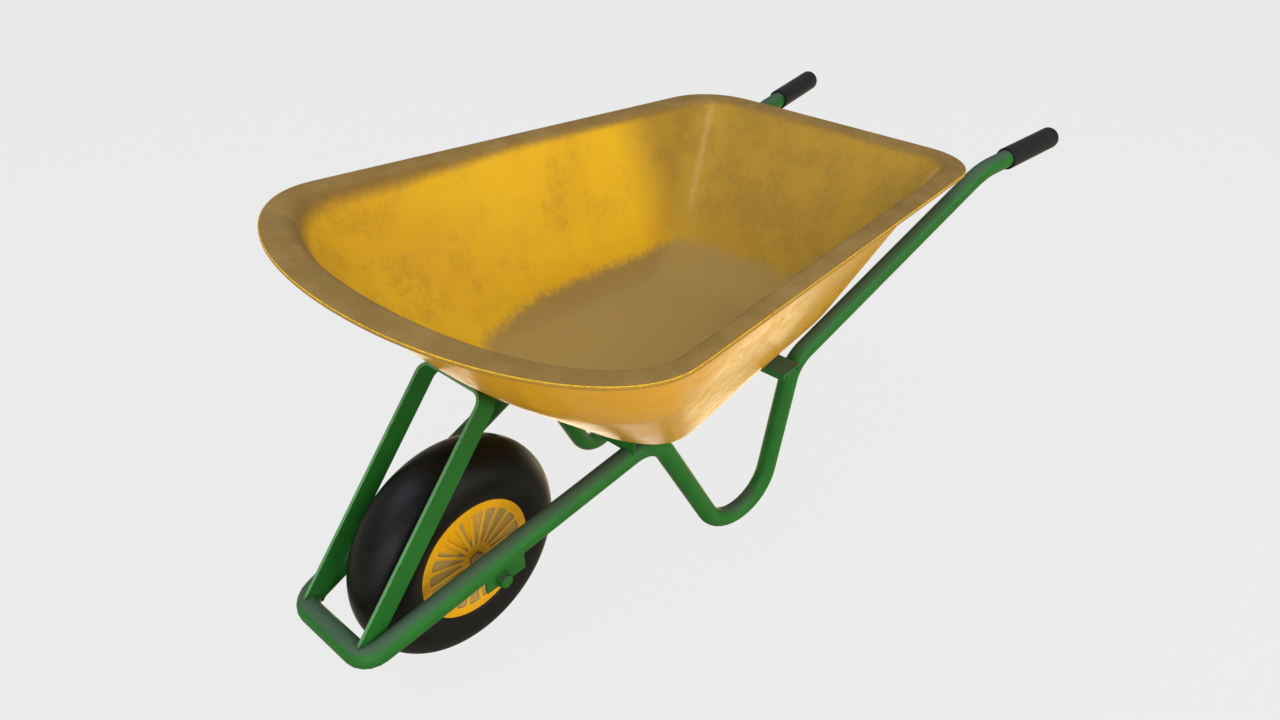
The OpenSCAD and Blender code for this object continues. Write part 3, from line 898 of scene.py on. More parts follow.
@dataclass
class Tray:
    """The pressed tray: one sheet with a flat floor, leaning walls, a flange and a lip.

    The floor bends into the wall from bend_in of the wall's way inside its outline to bend_up of
    the way up.  The bed's dust ends about dust_height up the walls and dust_run up the nose.
    Rubbing of the rear corners sets in over the heights in rubbed, and scuffs with painted shade on the rear
    wall over the x in scuffed_and_shaded.
    """

    sheet: float = 1.5 * MM
    floor_z: float = 292 * MM
    edge_z: float = 576 * MM
    edge_fall: float = 0.049
    edge: Outline = Outline(911 * MM, 296 * MM, 364 * MM, 74 * MM, -113 * MM, 103 * MM, 0.98)
    mouth: Outline = Outline(888 * MM, 260 * MM, 333 * MM, 88 * MM, -66 * MM, 67 * MM, 0.94)
    floor: Outline = Outline(669 * MM, 164 * MM, 195 * MM, 281 * MM, 201 * MM, 66 * MM, 0.78)
    bend_in: float = 0.22
    bend_up: float = 0.2
    nose_low: float = 0.77
    nose_knee: float = 0.67
    mouth_round: float = 13 * MM
    edge_round: float = 1.8 * MM
    lip: float = 4 * MM
    dust_height: float = 50 * MM
    dust_run: float = 62 * MM
    mouth_dust: float = 34 * MM
    crown: float = 0.8 * MM
    wall_rise: float = 200 * MM
    softness: float = 1.6
    rubbed: tuple[float, float] = (30 * MM, 120 * MM)
    scuffed_and_shaded: tuple[float, float] = (600 * MM, 730 * MM)
    counts: tuple[int, int, int, int] = (20, 24, 60, 58)

    def height_of_edge(self, x: np.ndarray) -> np.ndarray:
        """Returns the edge's height at x, which falls towards the handles."""
        return self.edge_z - self.edge_fall * (x - (self.edge.rear_x + self.edge.nose_x) / 2)

    def nose_rise(self, share: np.ndarray) -> np.ndarray:
        """Returns the nose's share of height at a share of its way out, with a curl past its knee."""
        over = np.maximum(0, share - self.nose_knee) / (1 - self.nose_knee)
        return self.nose_low * share + (1 - self.nose_low) * over**2

    def raised(self, line: np.ndarray) -> np.ndarray:
        """Returns points (x, y) lifted to the edge's height."""
        return np.column_stack([line, self.height_of_edge(line[:, 0])])

    def facing_forwards(self, low: np.ndarray, high: np.ndarray) -> np.ndarray:
        """Returns how far each stretch of wall faces forwards, from 0 to 1."""
        way = high - low
        return (np.maximum(0, -way[:, 0]) / np.linalg.norm(way, axis=1)) ** 2

    def wall(self, low: np.ndarray, high: np.ndarray, out: np.ndarray, up: np.ndarray) -> np.ndarray:
        """Stands wall points between the floor's and the mouth's outlines.

        A point lies out of the way from low to high, and up of the way to the mouth's height,
        less the nose's sag where the wall faces forwards.

        Args:
            low: The floor's outline (n, 2).
            high: The mouth's outline (n, 2).
            out: Shares of the way out, of shape (k,).
            up: Shares of the way up, of shape (k,).

        Returns:
            Points of shape (k, n, 3).
        """
        sag = (self.nose_rise(up) - up)[:, None] * self.facing_forwards(low, high)
        rise = up[:, None] + sag
        flat = low[None] + (high - low)[None] * out[:, None, None]
        base = self.floor_z + self.sheet
        z = base + (self.height_of_edge(high[:, 0])[None] - base) * rise
        return np.concatenate([flat, z[..., None]], axis=-1)

    def strips(self, low: np.ndarray, high: np.ndarray, rim: np.ndarray) -> list[np.ndarray]:
        """Works out the face that holds the load, from the floor's middle to the lip's end.

        Args:
            low: The floor's outline (n, 2).
            high: The mouth's outline (n, 2).
            rim: The edge's outline (n, 2).

        Returns:
            The bed, bend, wall, fold, flange, roll and lip, each of shape (rows, n, 3).
        """
        t = np.linspace(0, 1, 15)
        up = self.bend_up * t**2
        bend = self.wall(low, high, up - self.bend_in * (1 - t) ** 2, up)
        length = np.linalg.norm(high - low, axis=1).mean() + self.wall_rise
        t = np.linspace(self.bend_up, 1 - self.mouth_round / length, 40)[1:]
        wall = self.wall(low, high, t, t)
        middle = np.array([(self.floor.rear_x + self.floor.nose_x) / 2, 0.0, self.floor_z + self.sheet])
        bed = middle + (bend[:1] - middle) * np.linspace(0.0, 1.0, 22)[1:-1, None, None]
        corner, outer = self.raised(high), self.raised(rim)
        across = unit(outer - corner)
        flange_in, flange_out = corner + across * self.mouth_round, outer - across * self.edge_round
        fold = bezier(wall[-1], corner, flange_in, 10)[1:]
        t = np.linspace(0, 1, 8)[1:, None, None]
        flange = flange_in + (flange_out - flange_in) * t
        flange[..., 2] += self.crown * np.sin(math.pi * t[..., 0])
        roll = bezier(flange_out, outer, outer - [0, 0, self.edge_round], 6)[1:]
        lip = (outer - [0, 0, self.lip])[None]
        return [bed, bend, wall, fold, flange, roll, lip]

    def painted(self, rows: np.ndarray, starts: np.ndarray, nose: np.ndarray) -> dict[str, np.ndarray]:
        """Works out the values painted on the face.

        Args:
            rows: The face's points, counted from the axle.
            starts: The first row of each strip.
            nose: How far each stretch of wall faces forwards.

        Returns:
            Each point's share of bed dust, mouth dust, bare edge, rubbed corner, scuffed wall with painted
            shade towards the rear, and inside.
        """
        bend, fold, roll = starts[[1, 3, 5]]
        height = rows[..., 2] - self.floor_z
        run = np.cumsum(np.linalg.norm(np.diff(rows, axis=0, prepend=rows[:1]), axis=-1), axis=0)
        run -= run[bend]
        below = run[fold + 5] - run
        on_wall = below > 0
        depth = height / self.dust_height
        depth = depth + (run / self.dust_run - depth) * nose
        edge, inside = np.zeros_like(run), np.ones_like(run)
        edge[roll - 1] = 0.25
        edge[roll : roll + 3] = 0.78
        edge[roll + 3 :] = 0.38
        inside[roll + 4 :] = 0.7
        index, spot = np.arange(len(nose)), self.counts[0] + self.counts[1] / 2
        near = sum(np.exp(-(((index - place) / 2.8) ** 2)) for place in (spot, len(nose) - spot))
        return {
            "bed": np.clip(1 - depth / 2, 0, 1),
            "mouth": 1 - smoothstep(0, 1, (below + 4 * MM) / (self.mouth_dust * (1 + 1.6 * nose))),
            "edge": edge,
            "rub": near * smoothstep(*self.rubbed, height) * on_wall * 0.9,
            # scuff: scuffs and painted shade towards the rear wall, and a dust film on the nose.
            "scuff": (smoothstep(*self.scuffed_and_shaded, rows[..., 0]) + 0.3 * nose) * on_wall,
            "inside": inside,
        }

    def upper_face(self) -> tuple[np.ndarray, dict[str, np.ndarray]]:
        """Samples the outlines and runs the sheet's strips through them.

        Returns:
            The upper face's points, of shape (rows, around, 3), and the values painted on them.
        """
        outlines = (self.floor.inset(self.sheet), self.mouth.inset(self.sheet), self.edge)
        low, high, rim = (soften_loop(o.points(self.counts), self.softness) for o in outlines)
        strips = self.strips(low, high, rim)
        rows = np.concatenate(strips)
        starts = np.cumsum([0] + [len(strip) for strip in strips])
        paint = self.painted(rows, starts, self.facing_forwards(low, high))
        rows[..., 0] += AXLE[0]
        return rows, paint

    def build(self, palette: Palette) -> None:
        """Makes the tray from its upper face and the same face moved down by the sheet.

        The two faces share their normals, worked out from the grid's own steps, and a pole
        closes each one in the middle of the floor.

        Args:
            palette: The coatings.
        """
        top, paint = self.upper_face()
        step_rows = np.gradient(top, axis=0)
        step_around = np.roll(top, -1, axis=1) - np.roll(top, 1, axis=1)
        normal = unit(np.cross(step_rows, step_around))
        normal *= np.sign(normal[0, 0, 2])
        under = top - normal * self.sheet
        rows, around = top.shape[:2]
        rings = np.concatenate([top, under[::-1]])
        middle = np.array([[top[0, :, 0].mean(), 0, z] for z in (self.floor_z + self.sheet, self.floor_z)])
        points = np.concatenate([rings.reshape(-1, 3), middle])
        faces = grid_faces(2 * rows, around)
        this = np.arange(around)
        after = (this + 1) % around
        low_start, top_pole = (2 * rows - 1) * around, 2 * rows * around
        pole = np.full(around, top_pole)
        faces += np.column_stack([after, this, pole]).tolist()
        faces += np.column_stack([this + low_start, after + low_start, pole + 1]).tolist()
        both: dict[str, np.ndarray] = {}
        for key, value in paint.items():
            lower = value[::-1] if key == "edge" else np.zeros_like(value)
            ends = [1.0, 0.0] if key in ("bed", "inside") else [0.0, 0.0]
            both[key] = np.concatenate([value.ravel(), lower.ravel(), ends])
        make_piece("tray", Shape(points, faces, both), palette.tray)


@dataclass
class FrameTube:
    """The bent tube, from the left grip by way of the feet and the front bar to the right one.

    The corners are the right side's, counted from under the axle, and each has its bend's radius;
    foot says which of them stands on the ground.
    """

    radius: float = 16 * MM
    wall: float = 2 * MM
    corners: tuple[tuple[float, float, float], ...] = (
        (-0.203, 0.073, 0.156),
        (0.275, 0.134, 0.272),
        (0.489, 0.163, 0.0),
        (0.574, 0.172, 0.274),
        (1.029, 0.241, 0.487),
        (1.248, 0.270, 0.496),
    )
    bends: tuple[float, ...] = (0.026, 0.060, 0.076, 0.060, 0.150, 0.0)
    foot: int = 2
    around: int = 48
    stride: float = 14 * MM

    def side(self) -> np.ndarray:
        """Works out the right side's corners, with the foot set so that it just meets the ground.

        The bend of radius R in a plane whose normal is n comes down to R * sqrt(1 - n_z^2) below
        its centre, and the foot's corner moves until the tube's underside there is at 0.

        Returns:
            The corners, counted from under the axle.
        """
        c = np.array(self.corners)
        z = -self.bends[self.foot]
        for _ in range(12):
            corner = np.array([c[self.foot, 0], c[self.foot, 1], z])
            a, b = unit(c[self.foot - 1] - corner), unit(c[self.foot + 1] - corner)
            mid, flat = unit(a + b), unit(np.cross(a, b))
            centre = corner + mid * self.bends[self.foot] / np.linalg.norm(np.cross(a, mid))
            z -= centre[2] - self.bends[self.foot] * math.sqrt(1 - flat[2] ** 2) - self.radius
        c[self.foot, 2] = z
        return c

    def path(self) -> np.ndarray:
        """Runs the tube's centre line from the left grip to the right one.

        Returns:
            Its points.
        """
        right = self.side()
        left = right[::-1] * [1, -1, 1]
        corners = np.concatenate([left, right]) + GROUND_UNDER_AXLE
        return route(corners, self.bends[::-1] + self.bends, self.stride)

    def build(self, palette: Palette) -> None:
        """Makes the tube as an outer and an inner surface that meet at its two ends.

        Args:
            palette: The coatings.
        """
        path = self.path()
        way = unit(np.gradient(path, axis=0))
        side = unit(np.cross(way, [0.0, 0.0, 1.0]))
        outer = swept(path, circle(self.radius, self.around), side)
        inner = swept(path, circle(self.radius - self.wall, self.around), side)
        rings = np.concatenate([outer, inner[::-1]])
        shape = Shape(rings.reshape(-1, 3), grid_faces(len(rings), self.around, closed_rows=True))
        make_piece("frame_tube", shape, palette.green)


@dataclass
class FrontStrap:
    """The flat bar that rises from the front bar, over the wheel, to the tray's nose.

    Its two limbs stand half away from the middle, lean back from upright, and run from start to
    length past the front bar's middle line.  The paint is worn within edge_wear of the edges.
    """

    width: float = 32 * MM
    thickness: float = 5 * MM
    half: float = 61 * MM
    lean: float = math.radians(41.2)
    length: float = 368.7 * MM
    set_back: float = 3 * MM
    bend: float = 14 * MM
    start: float = 12 * MM
    foot: tuple[float, float, float] = (-0.203, 0.0, 0.156)
    edge_round: float = 0.9 * MM
    edge_band: float = 3 * MM
    edge_wear: float = 2.5 * MM
    stride: float = 12 * MM

    def build(self, palette: Palette) -> None:
        """Makes the strap by carrying a rounded bar section along its bent line.

        Args:
            palette: The coatings.
        """
        up = np.array([math.sin(self.lean), 0, math.cos(self.lean)])
        back = np.array([math.cos(self.lean), 0, -math.sin(self.lean)])
        base = GROUND_UNDER_AXLE + self.foot + back * self.set_back
        top = self.length - self.thickness / 2
        flat = [(-self.half, self.start), (-self.half, top), (self.half, top), (self.half, self.start)]
        corners = np.array([base + ALONG_Y * b + up * c for b, c in flat])
        radius = self.bend + self.thickness / 2
        path = route(corners, [0, radius, radius, 0], self.stride)
        w, t = self.width / 2, self.thickness / 2
        e = w - self.edge_band
        section = round_corners(
            [(-w, -t), (-e, -t), (e, -t), (w, -t), (w, t), (e, t), (-e, t), (-w, t)], self.edge_round
        )
        rings = swept(path, section, np.broadcast_to(back, path.shape))
        shape = loft(rings)
        worn = np.clip(1 - np.abs(np.abs(section[:, 0]) - w) / self.edge_wear, 0, 1)
        shape.paint["edge"] = np.tile(worn, len(path)) * 0.9
        make_piece("front_strap", shape, palette.green, flats=True)


@dataclass
class CrossMembers:
    """The two channels under the tray that tie the frame's sides together.

    Each has its x, counted from the axle, half its length and its depth.
    """

    width: float = 46 * MM
    sheet: float = 4 * MM
    top: float = 291.7 * MM
    front: tuple[float, float, float] = (0.245, 0.142, 0.022)
    rear: tuple[float, float, float] = (0.531, 0.200, 0.012)
    edge_round: float = 1.2 * MM

    def channel(self, x: float, half: float, depth: float) -> Shape:
        """Makes a channel that opens downwards.

        Args:
            x: Its middle, counted from the axle.
            half: Half its length.
            depth: How deep its sides are.

        Returns:
            The channel's closed shape.
        """
        w, top, low = self.width / 2, self.top, self.top - depth
        v, under = w - self.sheet, top - self.sheet
        outer = [(-w, low), (-w, top), (w, top), (w, low)]
        outline = np.array(outer + [(v, low), (v, under), (-v, under), (-v, low)])
        outline[:, 0] += x + AXLE[0]
        return prism(outline, -half, half)

    def build(self, palette: Palette) -> None:
        """Makes both cross members."""
        for node, sizes in (("front_cross_member", self.front), ("rear_cross_member", self.rear)):
            make_piece(node, self.channel(*sizes), palette.green, bevel=self.edge_round)


@dataclass
class AxleSet:
    """The brackets under the tube, and the bolt and nut through them.

    Each bracket stands half away from the middle, from the height low up to sunk below the
    tube's middle line, which passes over the axle at tube_height.  The bolt ends spare past its
    nut.
    """

    half: float = 98.9 * MM
    thickness: float = 5 * MM
    length: float = 68 * MM
    set_back: float = 7 * MM
    low: float = 158 * MM
    tube_height: float = 205.3 * MM
    sunk: float = 6 * MM
    edge_round: float = 0.8 * MM
    bolt: float = 6 * MM
    head_across: float = 18 * MM
    head_height: float = 8 * MM
    washer: float = 2.5 * MM
    nut_height: float = 10 * MM
    play: float = 0.05 * MM
    spare: float = 4 * MM
    tip: float = 1.2 * MM

    def bracket(self, side: int) -> Shape:
        """Makes the plate of one side, whose top edge follows the tube and ends inside it.

        Args:
            side: -1 for the left plate and 1 for the right.

        Returns:
            Its closed shape.
        """
        (x0, _, z0), (x1, _, z1) = FrameTube.corners[:2]
        x = self.set_back + self.length * np.array([-0.5, 0.5, 0.5, -0.5])
        top = self.tube_height - self.sunk + x * (z1 - z0) / (x1 - x0)
        outline = np.column_stack([x + AXLE[0], np.where([True, True, False, False], self.low, top)])
        y = side * self.half
        return prism(outline, y - self.thickness / 2, y + self.thickness / 2)

    def build(self, palette: Palette) -> None:
        """Makes the brackets, the bolt and its nut.

        Args:
            palette: The coatings.
        """
        for side, node in ((-1, "left_axle_bracket"), (1, "right_axle_bracket")):
            make_piece(node, self.bracket(side), palette.green, bevel=self.edge_round)
        outside = self.half + self.thickness / 2 + self.washer
        start = AXLE - ALONG_Y * outside
        head = hexagon(self.head_across, self.head_height, 0, start, -ALONG_Y)
        r, end = self.bolt, 2 * outside + self.nut_height + self.spare
        profile = np.array([(0, 0), (0, r), (end - self.tip, r), (end, r - self.tip), (end, 0)])
        shank = turned(profile, start, ALONG_Y, 40, False)
        make_piece("axle_bolt", head.joined(shank), palette.green, merge=POLE_MERGE, flats=True)
        seat = AXLE + ALONG_Y * outside
        nut = hexagon(self.head_across, self.nut_height, r + self.play, seat, ALONG_Y)
        make_piece("axle_nut", nut, palette.zinc, flats=True)


@dataclass
class Grips:
    """The two plain black sleeves on the tube's ends."""

    radius: float = 20 * MM
    bore: float = 16.05 * MM
    length: float = 150 * MM
    end: float = 5 * MM
    end_round: float = 7 * MM
    crown: float = 0.4 * MM
    mouth_round: float = 1.2 * MM

    def build(self, palette: Palette, tube: FrameTube) -> None:
        """Makes both grips by turning their section about the tube's end.

        Args:
            palette: The coatings.
            tube: The tube that they are pushed on.
        """
        r, b, n = self.radius, self.bore, self.length
        shoulder, plug, crown = n - self.end_round, n - self.end, n + self.crown
        nose = bezier(np.array([shoulder, r]), np.array([n, r]), np.array([n, r - self.end_round]), 10)
        mouth = round_corners([(0, b), (0, r), (0.3 * n, r), (0.3 * n, b)], self.mouth_round)
        mouth = mouth[mouth[:, 0] < 0.1 * n]
        run = np.linspace(0.1 * n, shoulder, 14, endpoint=False)
        run = np.column_stack([run, np.full_like(run, r)])
        bottom, tip = [(plug, 0), (plug, b)], [(crown, r * 0.3), (crown, 0)]
        profile = np.concatenate([bottom, mouth, run, nose, tip])
        tail = np.array(tube.corners[-2:])
        for side, node in ((-1, "left_grip"), (1, "right_grip")):
            ends = tail * [1, side, 1] + GROUND_UNDER_AXLE
            way = unit(ends[1] - ends[0])
            start = ends[1] + way * (self.end - n)
            make_piece(node, turned(profile, start, way, 56, False), palette.grip, merge=POLE_MERGE)


@dataclass
class Tyre:
    """A smooth balloon tyre on the wheel's centre."""

    radius: float = 168 * MM
    section: float = 52 * MM
    wall: float = 6 * MM
    bead: float = 43.2 * MM
    rib: float = 0.9 * MM
    rib_angle: float = math.radians(112)
    rib_spread: float = 0.022
    line: float = 0.25 * MM
    line_spread: float = 0.012
    steps: int = 144

    def build(self, palette: Palette) -> None:
        """Makes the tyre by turning its section about the axle.

        The section is a circle cut open at the beads, with a thin raised line round the
        middle of the tread where the mould closed and a fine rib beside each bead.

        Args:
            palette: The coatings.
        """
        start = math.atan2(self.bead, -math.sqrt(self.section**2 - self.bead**2))
        a = np.linspace(start, -start, 96)
        rib = self.rib * np.exp(-(((np.abs(a) - self.rib_angle) / self.rib_spread) ** 2))
        line = self.line * np.exp(-((a / self.line_spread) ** 2))
        b = np.linspace(-start, start, 40)
        r = np.concatenate([self.section - self.line + rib + line, np.full_like(b, self.section - self.wall)])
        turn = np.concatenate([a, b])
        profile = np.column_stack([r * np.sin(turn), self.radius - self.section + r * np.cos(turn)])
        make_piece("tyre", turned(profile, AXLE, ALONG_Y, self.steps, True), palette.tyre, Body.WHEEL)


@dataclass
class WheelCentre:
    """The two moulded halves of the wheel's centre, each with a ring of pockets between ribs.

    The pockets run from pocket_in to pocket_out from the axle, and the dust in them lies depth
    below the face.  The web's other side, inside the barrel, is back below the face.
    """

    face: float = 46 * MM
    edge: float = 94 * MM
    barrel: float = 80 * MM
    barrel_wall: float = 3 * MM
    flange: float = 2.5 * MM
    boss: float = 22 * MM
    bore: float = 11.1 * MM
    ribs: int = 20
    rib: float = 5.2 * MM
    pocket_in: float = 24 * MM
    pocket_out: float = 79 * MM
    depth: float = 3 * MM
    back: float = 13 * MM
    across: int = 12
    along: int = 22

    def wedge(self, low: float, high: float, gap: float) -> np.ndarray:
        """Goes round one sector's outline, counter-clockwise from its outer clockwise corner.

        Args:
            low: The inner radius.
            high: The outer radius.
            gap: How far the long sides stand in from the sector's borders.

        Returns:
            Points (out, aside) of the closed outline, with the same count on every wedge.
        """
        half = math.pi / self.ribs
        t = np.linspace(0, 1, self.across, endpoint=False)[:, None]
        s = np.linspace(0, 1, self.along, endpoint=False)[:, None]

        def corner(r: float, side: float) -> np.ndarray:
            """Returns the point of radius r on one long side."""
            aside = r * math.sin(half) - gap / math.cos(half)
            return np.array([math.sqrt(r * r - aside * aside), side * aside])

        def arc(r: float, side: float) -> np.ndarray:
            """Returns the arc of radius r that starts on one long side."""
            angle = math.atan2(corner(r, side)[1], corner(r, side)[0]) * (1 - 2 * t)
            return np.concatenate([r * np.cos(angle), r * np.sin(angle)], axis=1)

        down = corner(high, 1) + (corner(low, 1) - corner(high, 1)) * s
        rise = corner(low, -1) + (corner(high, -1) - corner(low, -1)) * s
        return np.concatenate([arc(high, -1), down, arc(low, 1), rise])

    def sector(self) -> tuple[np.ndarray, np.ndarray, np.ndarray]:
        """Works out one sector of the face: its border, the pocket's lip, wall and floor.

        The pocket's rings are its softened outline pushed outwards or inwards in the plane,
        each at its own depth, and then shrunk towards its middle to cover the floor.

        Returns:
            Rings (k, n, 3) of (out, aside, depth), and two painted values for each point.
        """
        border = self.wedge(self.boss, self.edge - 4 * MM, 0)
        pocket = soften_loop(self.wedge(self.pocket_in, self.pocket_out, self.rib / 2), 1.7)
        step = np.roll(pocket, -1, axis=0) - np.roll(pocket, 1, axis=0)
        outward = unit(np.column_stack([step[:, 1], -step[:, 0]]))
        d = self.depth / MM
        section = [(0.8, 0), (0.4, 0.08), (0.1, 0.3), (0, 0.7)]
        section += [(-0.1, 0.3 * d), (-0.2, 0.7 * d), (-0.3, d - 0.7), (-0.5, d - 0.2), (-0.8, d)]
        rings = [np.column_stack([border, np.zeros(len(border))])]
        lip = pocket + outward * section[0][0] * MM
        rings.append(np.column_stack([(border + lip) / 2, np.zeros(len(lip))]))
        for push, deep in section:
            rings.append(np.column_stack([pocket + outward * push * MM, np.full(len(pocket), deep * MM)]))
        last = rings[-1]
        middle = (self.pocket_in + self.pocket_out) / 2
        spine = last * [0.92, 0, 1] + [0.08 * middle, 0, 0]
        for k in (0.86, 0.7, 0.54, 0.38, 0.22, 0.08):
            rings.append(spine + (last - spine) * k)
        points = np.stack(rings)
        deep = points[..., 2] / self.depth
        grime = smoothstep(0.02, 0.20, deep)
        edge = np.zeros_like(grime)
        edge[2:6] = np.array([0.3, 0.9, 0.9, 0.3])[:, None]
        return points, grime, edge

    def dust_left(self, k: int, out: np.ndarray, aside: np.ndarray) -> np.ndarray:
        """Works out how much of a pocket's dust is left.

        Three neighbouring pockets are mostly clean and keep dust only near the hub and along
        one side, and the next is half clean.

        Args:
            k: The pocket's number.
            out: How far points of it are from the axle.
            aside: How far they are from its middle line.

        Returns:
            The share of dust left at each point.
        """
        share = aside / (out * math.tan(math.pi / self.ribs))
        near_hub = 1 - smoothstep(34 * MM, 40 * MM, out)
        if k == 7:
            return np.maximum(near_hub, smoothstep(0.20, 0.34, share))
        if k == 6:
            return near_hub * smoothstep(-0.1, 0.1, share)
        if k == 5:
            return np.maximum(near_hub * 0.6, smoothstep(0.05, 0.2, share) * 0.9)
        return np.full_like(out, 0.52 if k == 4 else 1.0)

    def body(self, side: int) -> Shape:
        """Makes a half's rim, barrel, web and boss, which the face's sectors close.

        Args:
            side: -1 for the left half and 1 for the right.

        Returns:
            Its surface, with dust painted inside the barrel and around the boss.
        """
        f, e, w, b = self.face, self.edge, self.flange, self.barrel
        inner = b - self.barrel_wall
        rim = [(0, e - 4 * MM), (0, e - 1.2 * MM), (0.35 * MM, e - 0.35 * MM), (1.2 * MM, e), (w, e)]
        rim += [(w + 0.3 * MM, e - 0.5 * MM), (w, b + 1 * MM), (w + 1 * MM, b)]
        barrel = [(f, b), (f, inner), (self.back, inner), (self.back, self.boss), (f, self.boss)]
        bore = [(f, self.bore), (0.6 * MM, self.bore), (0, self.bore + 0.6 * MM)]
        bore += [(0, self.bore + 1.6 * MM), (0, self.boss)]
        profile = (np.array(rim + barrel + bore) - [f, 0]) * [side, 1]
        count = self.across * self.ribs
        shape = turned(profile, AXLE, -ALONG_Y, count, False)
        dust = np.repeat([0.0, 0.9, 0.0], [len(rim), len(barrel), len(bore)])
        shape.paint["grime"] = np.repeat(dust, count)
        return shape

    def half_centre(self, side: int) -> Shape:
        """Makes one half of the centre, with a sector of its face for each pocket.

        A point (out, aside) of the sector at angle a stands at
        x = out cos a - aside sin a and z = out sin a + aside cos a.

        Args:
            side: -1 for the left half and 1 for the right.

        Returns:
            Its closed shape.
        """
        rings, grime, edge = self.sector()
        n, m = rings.shape[:2]
        out, aside, deep = np.moveaxis(rings, -1, 0)
        faces = grid_faces(n, m) + [list(range((n - 1) * m, n * m))]
        shape = Shape(np.empty((0, 3)), [])
        for k in range(self.ribs):
            a = (k + 0.5) * 2 * math.pi / self.ribs
            x = out * math.cos(a) - aside * math.sin(a)
            z = out * math.sin(a) + aside * math.cos(a)
            points = np.stack([x, side * (self.face - deep), z], axis=-1).reshape(-1, 3) + AXLE
            paint = {"grime": (grime * self.dust_left(k, out, aside)).ravel(), "edge": edge.ravel()}
            shape = shape.joined(Shape(points, faces, paint))
        return shape.joined(self.body(side))

    def build(self, palette: Palette) -> None:
        """Makes both halves."""
        for side, node in ((-1, "rim_left"), (1, "rim_right")):
            make_piece(node, self.half_centre(side), palette.wheel, Body.WHEEL, merge=0.02 * MM, flats=True)


def dress_frame(palette: Palette) -> None:
    """Gives the CAD nodes that stay in view their materials.

    Args:
        palette: The materials.
    """
    wanted = {
        "tray_studs": palette.zinc.material,
        "tray_washers": palette.zinc.material,
        "tray_nuts": palette.zinc.material,
        "axle_washers": palette.green.material,
        "axle_sleeve": palette.hub,
        "axle_spacers": palette.hub,
        "hub_tube": palette.hub,
        "hub_bushes": palette.bush,
        "inner_tube": palette.tube,
        "valve_stem": palette.brass,
        "valve_cap": palette.cap,
    }
    for name, material in wanted.items():
        node = frame["nodes"][name]
        if not node.material_slots:
            node.data.materials.append(material)
        for held in node.material_slots:
            held.material = material
        LOG.info("%s keeps its CAD shape", name)


# ---------------------------------------------------------------- studio


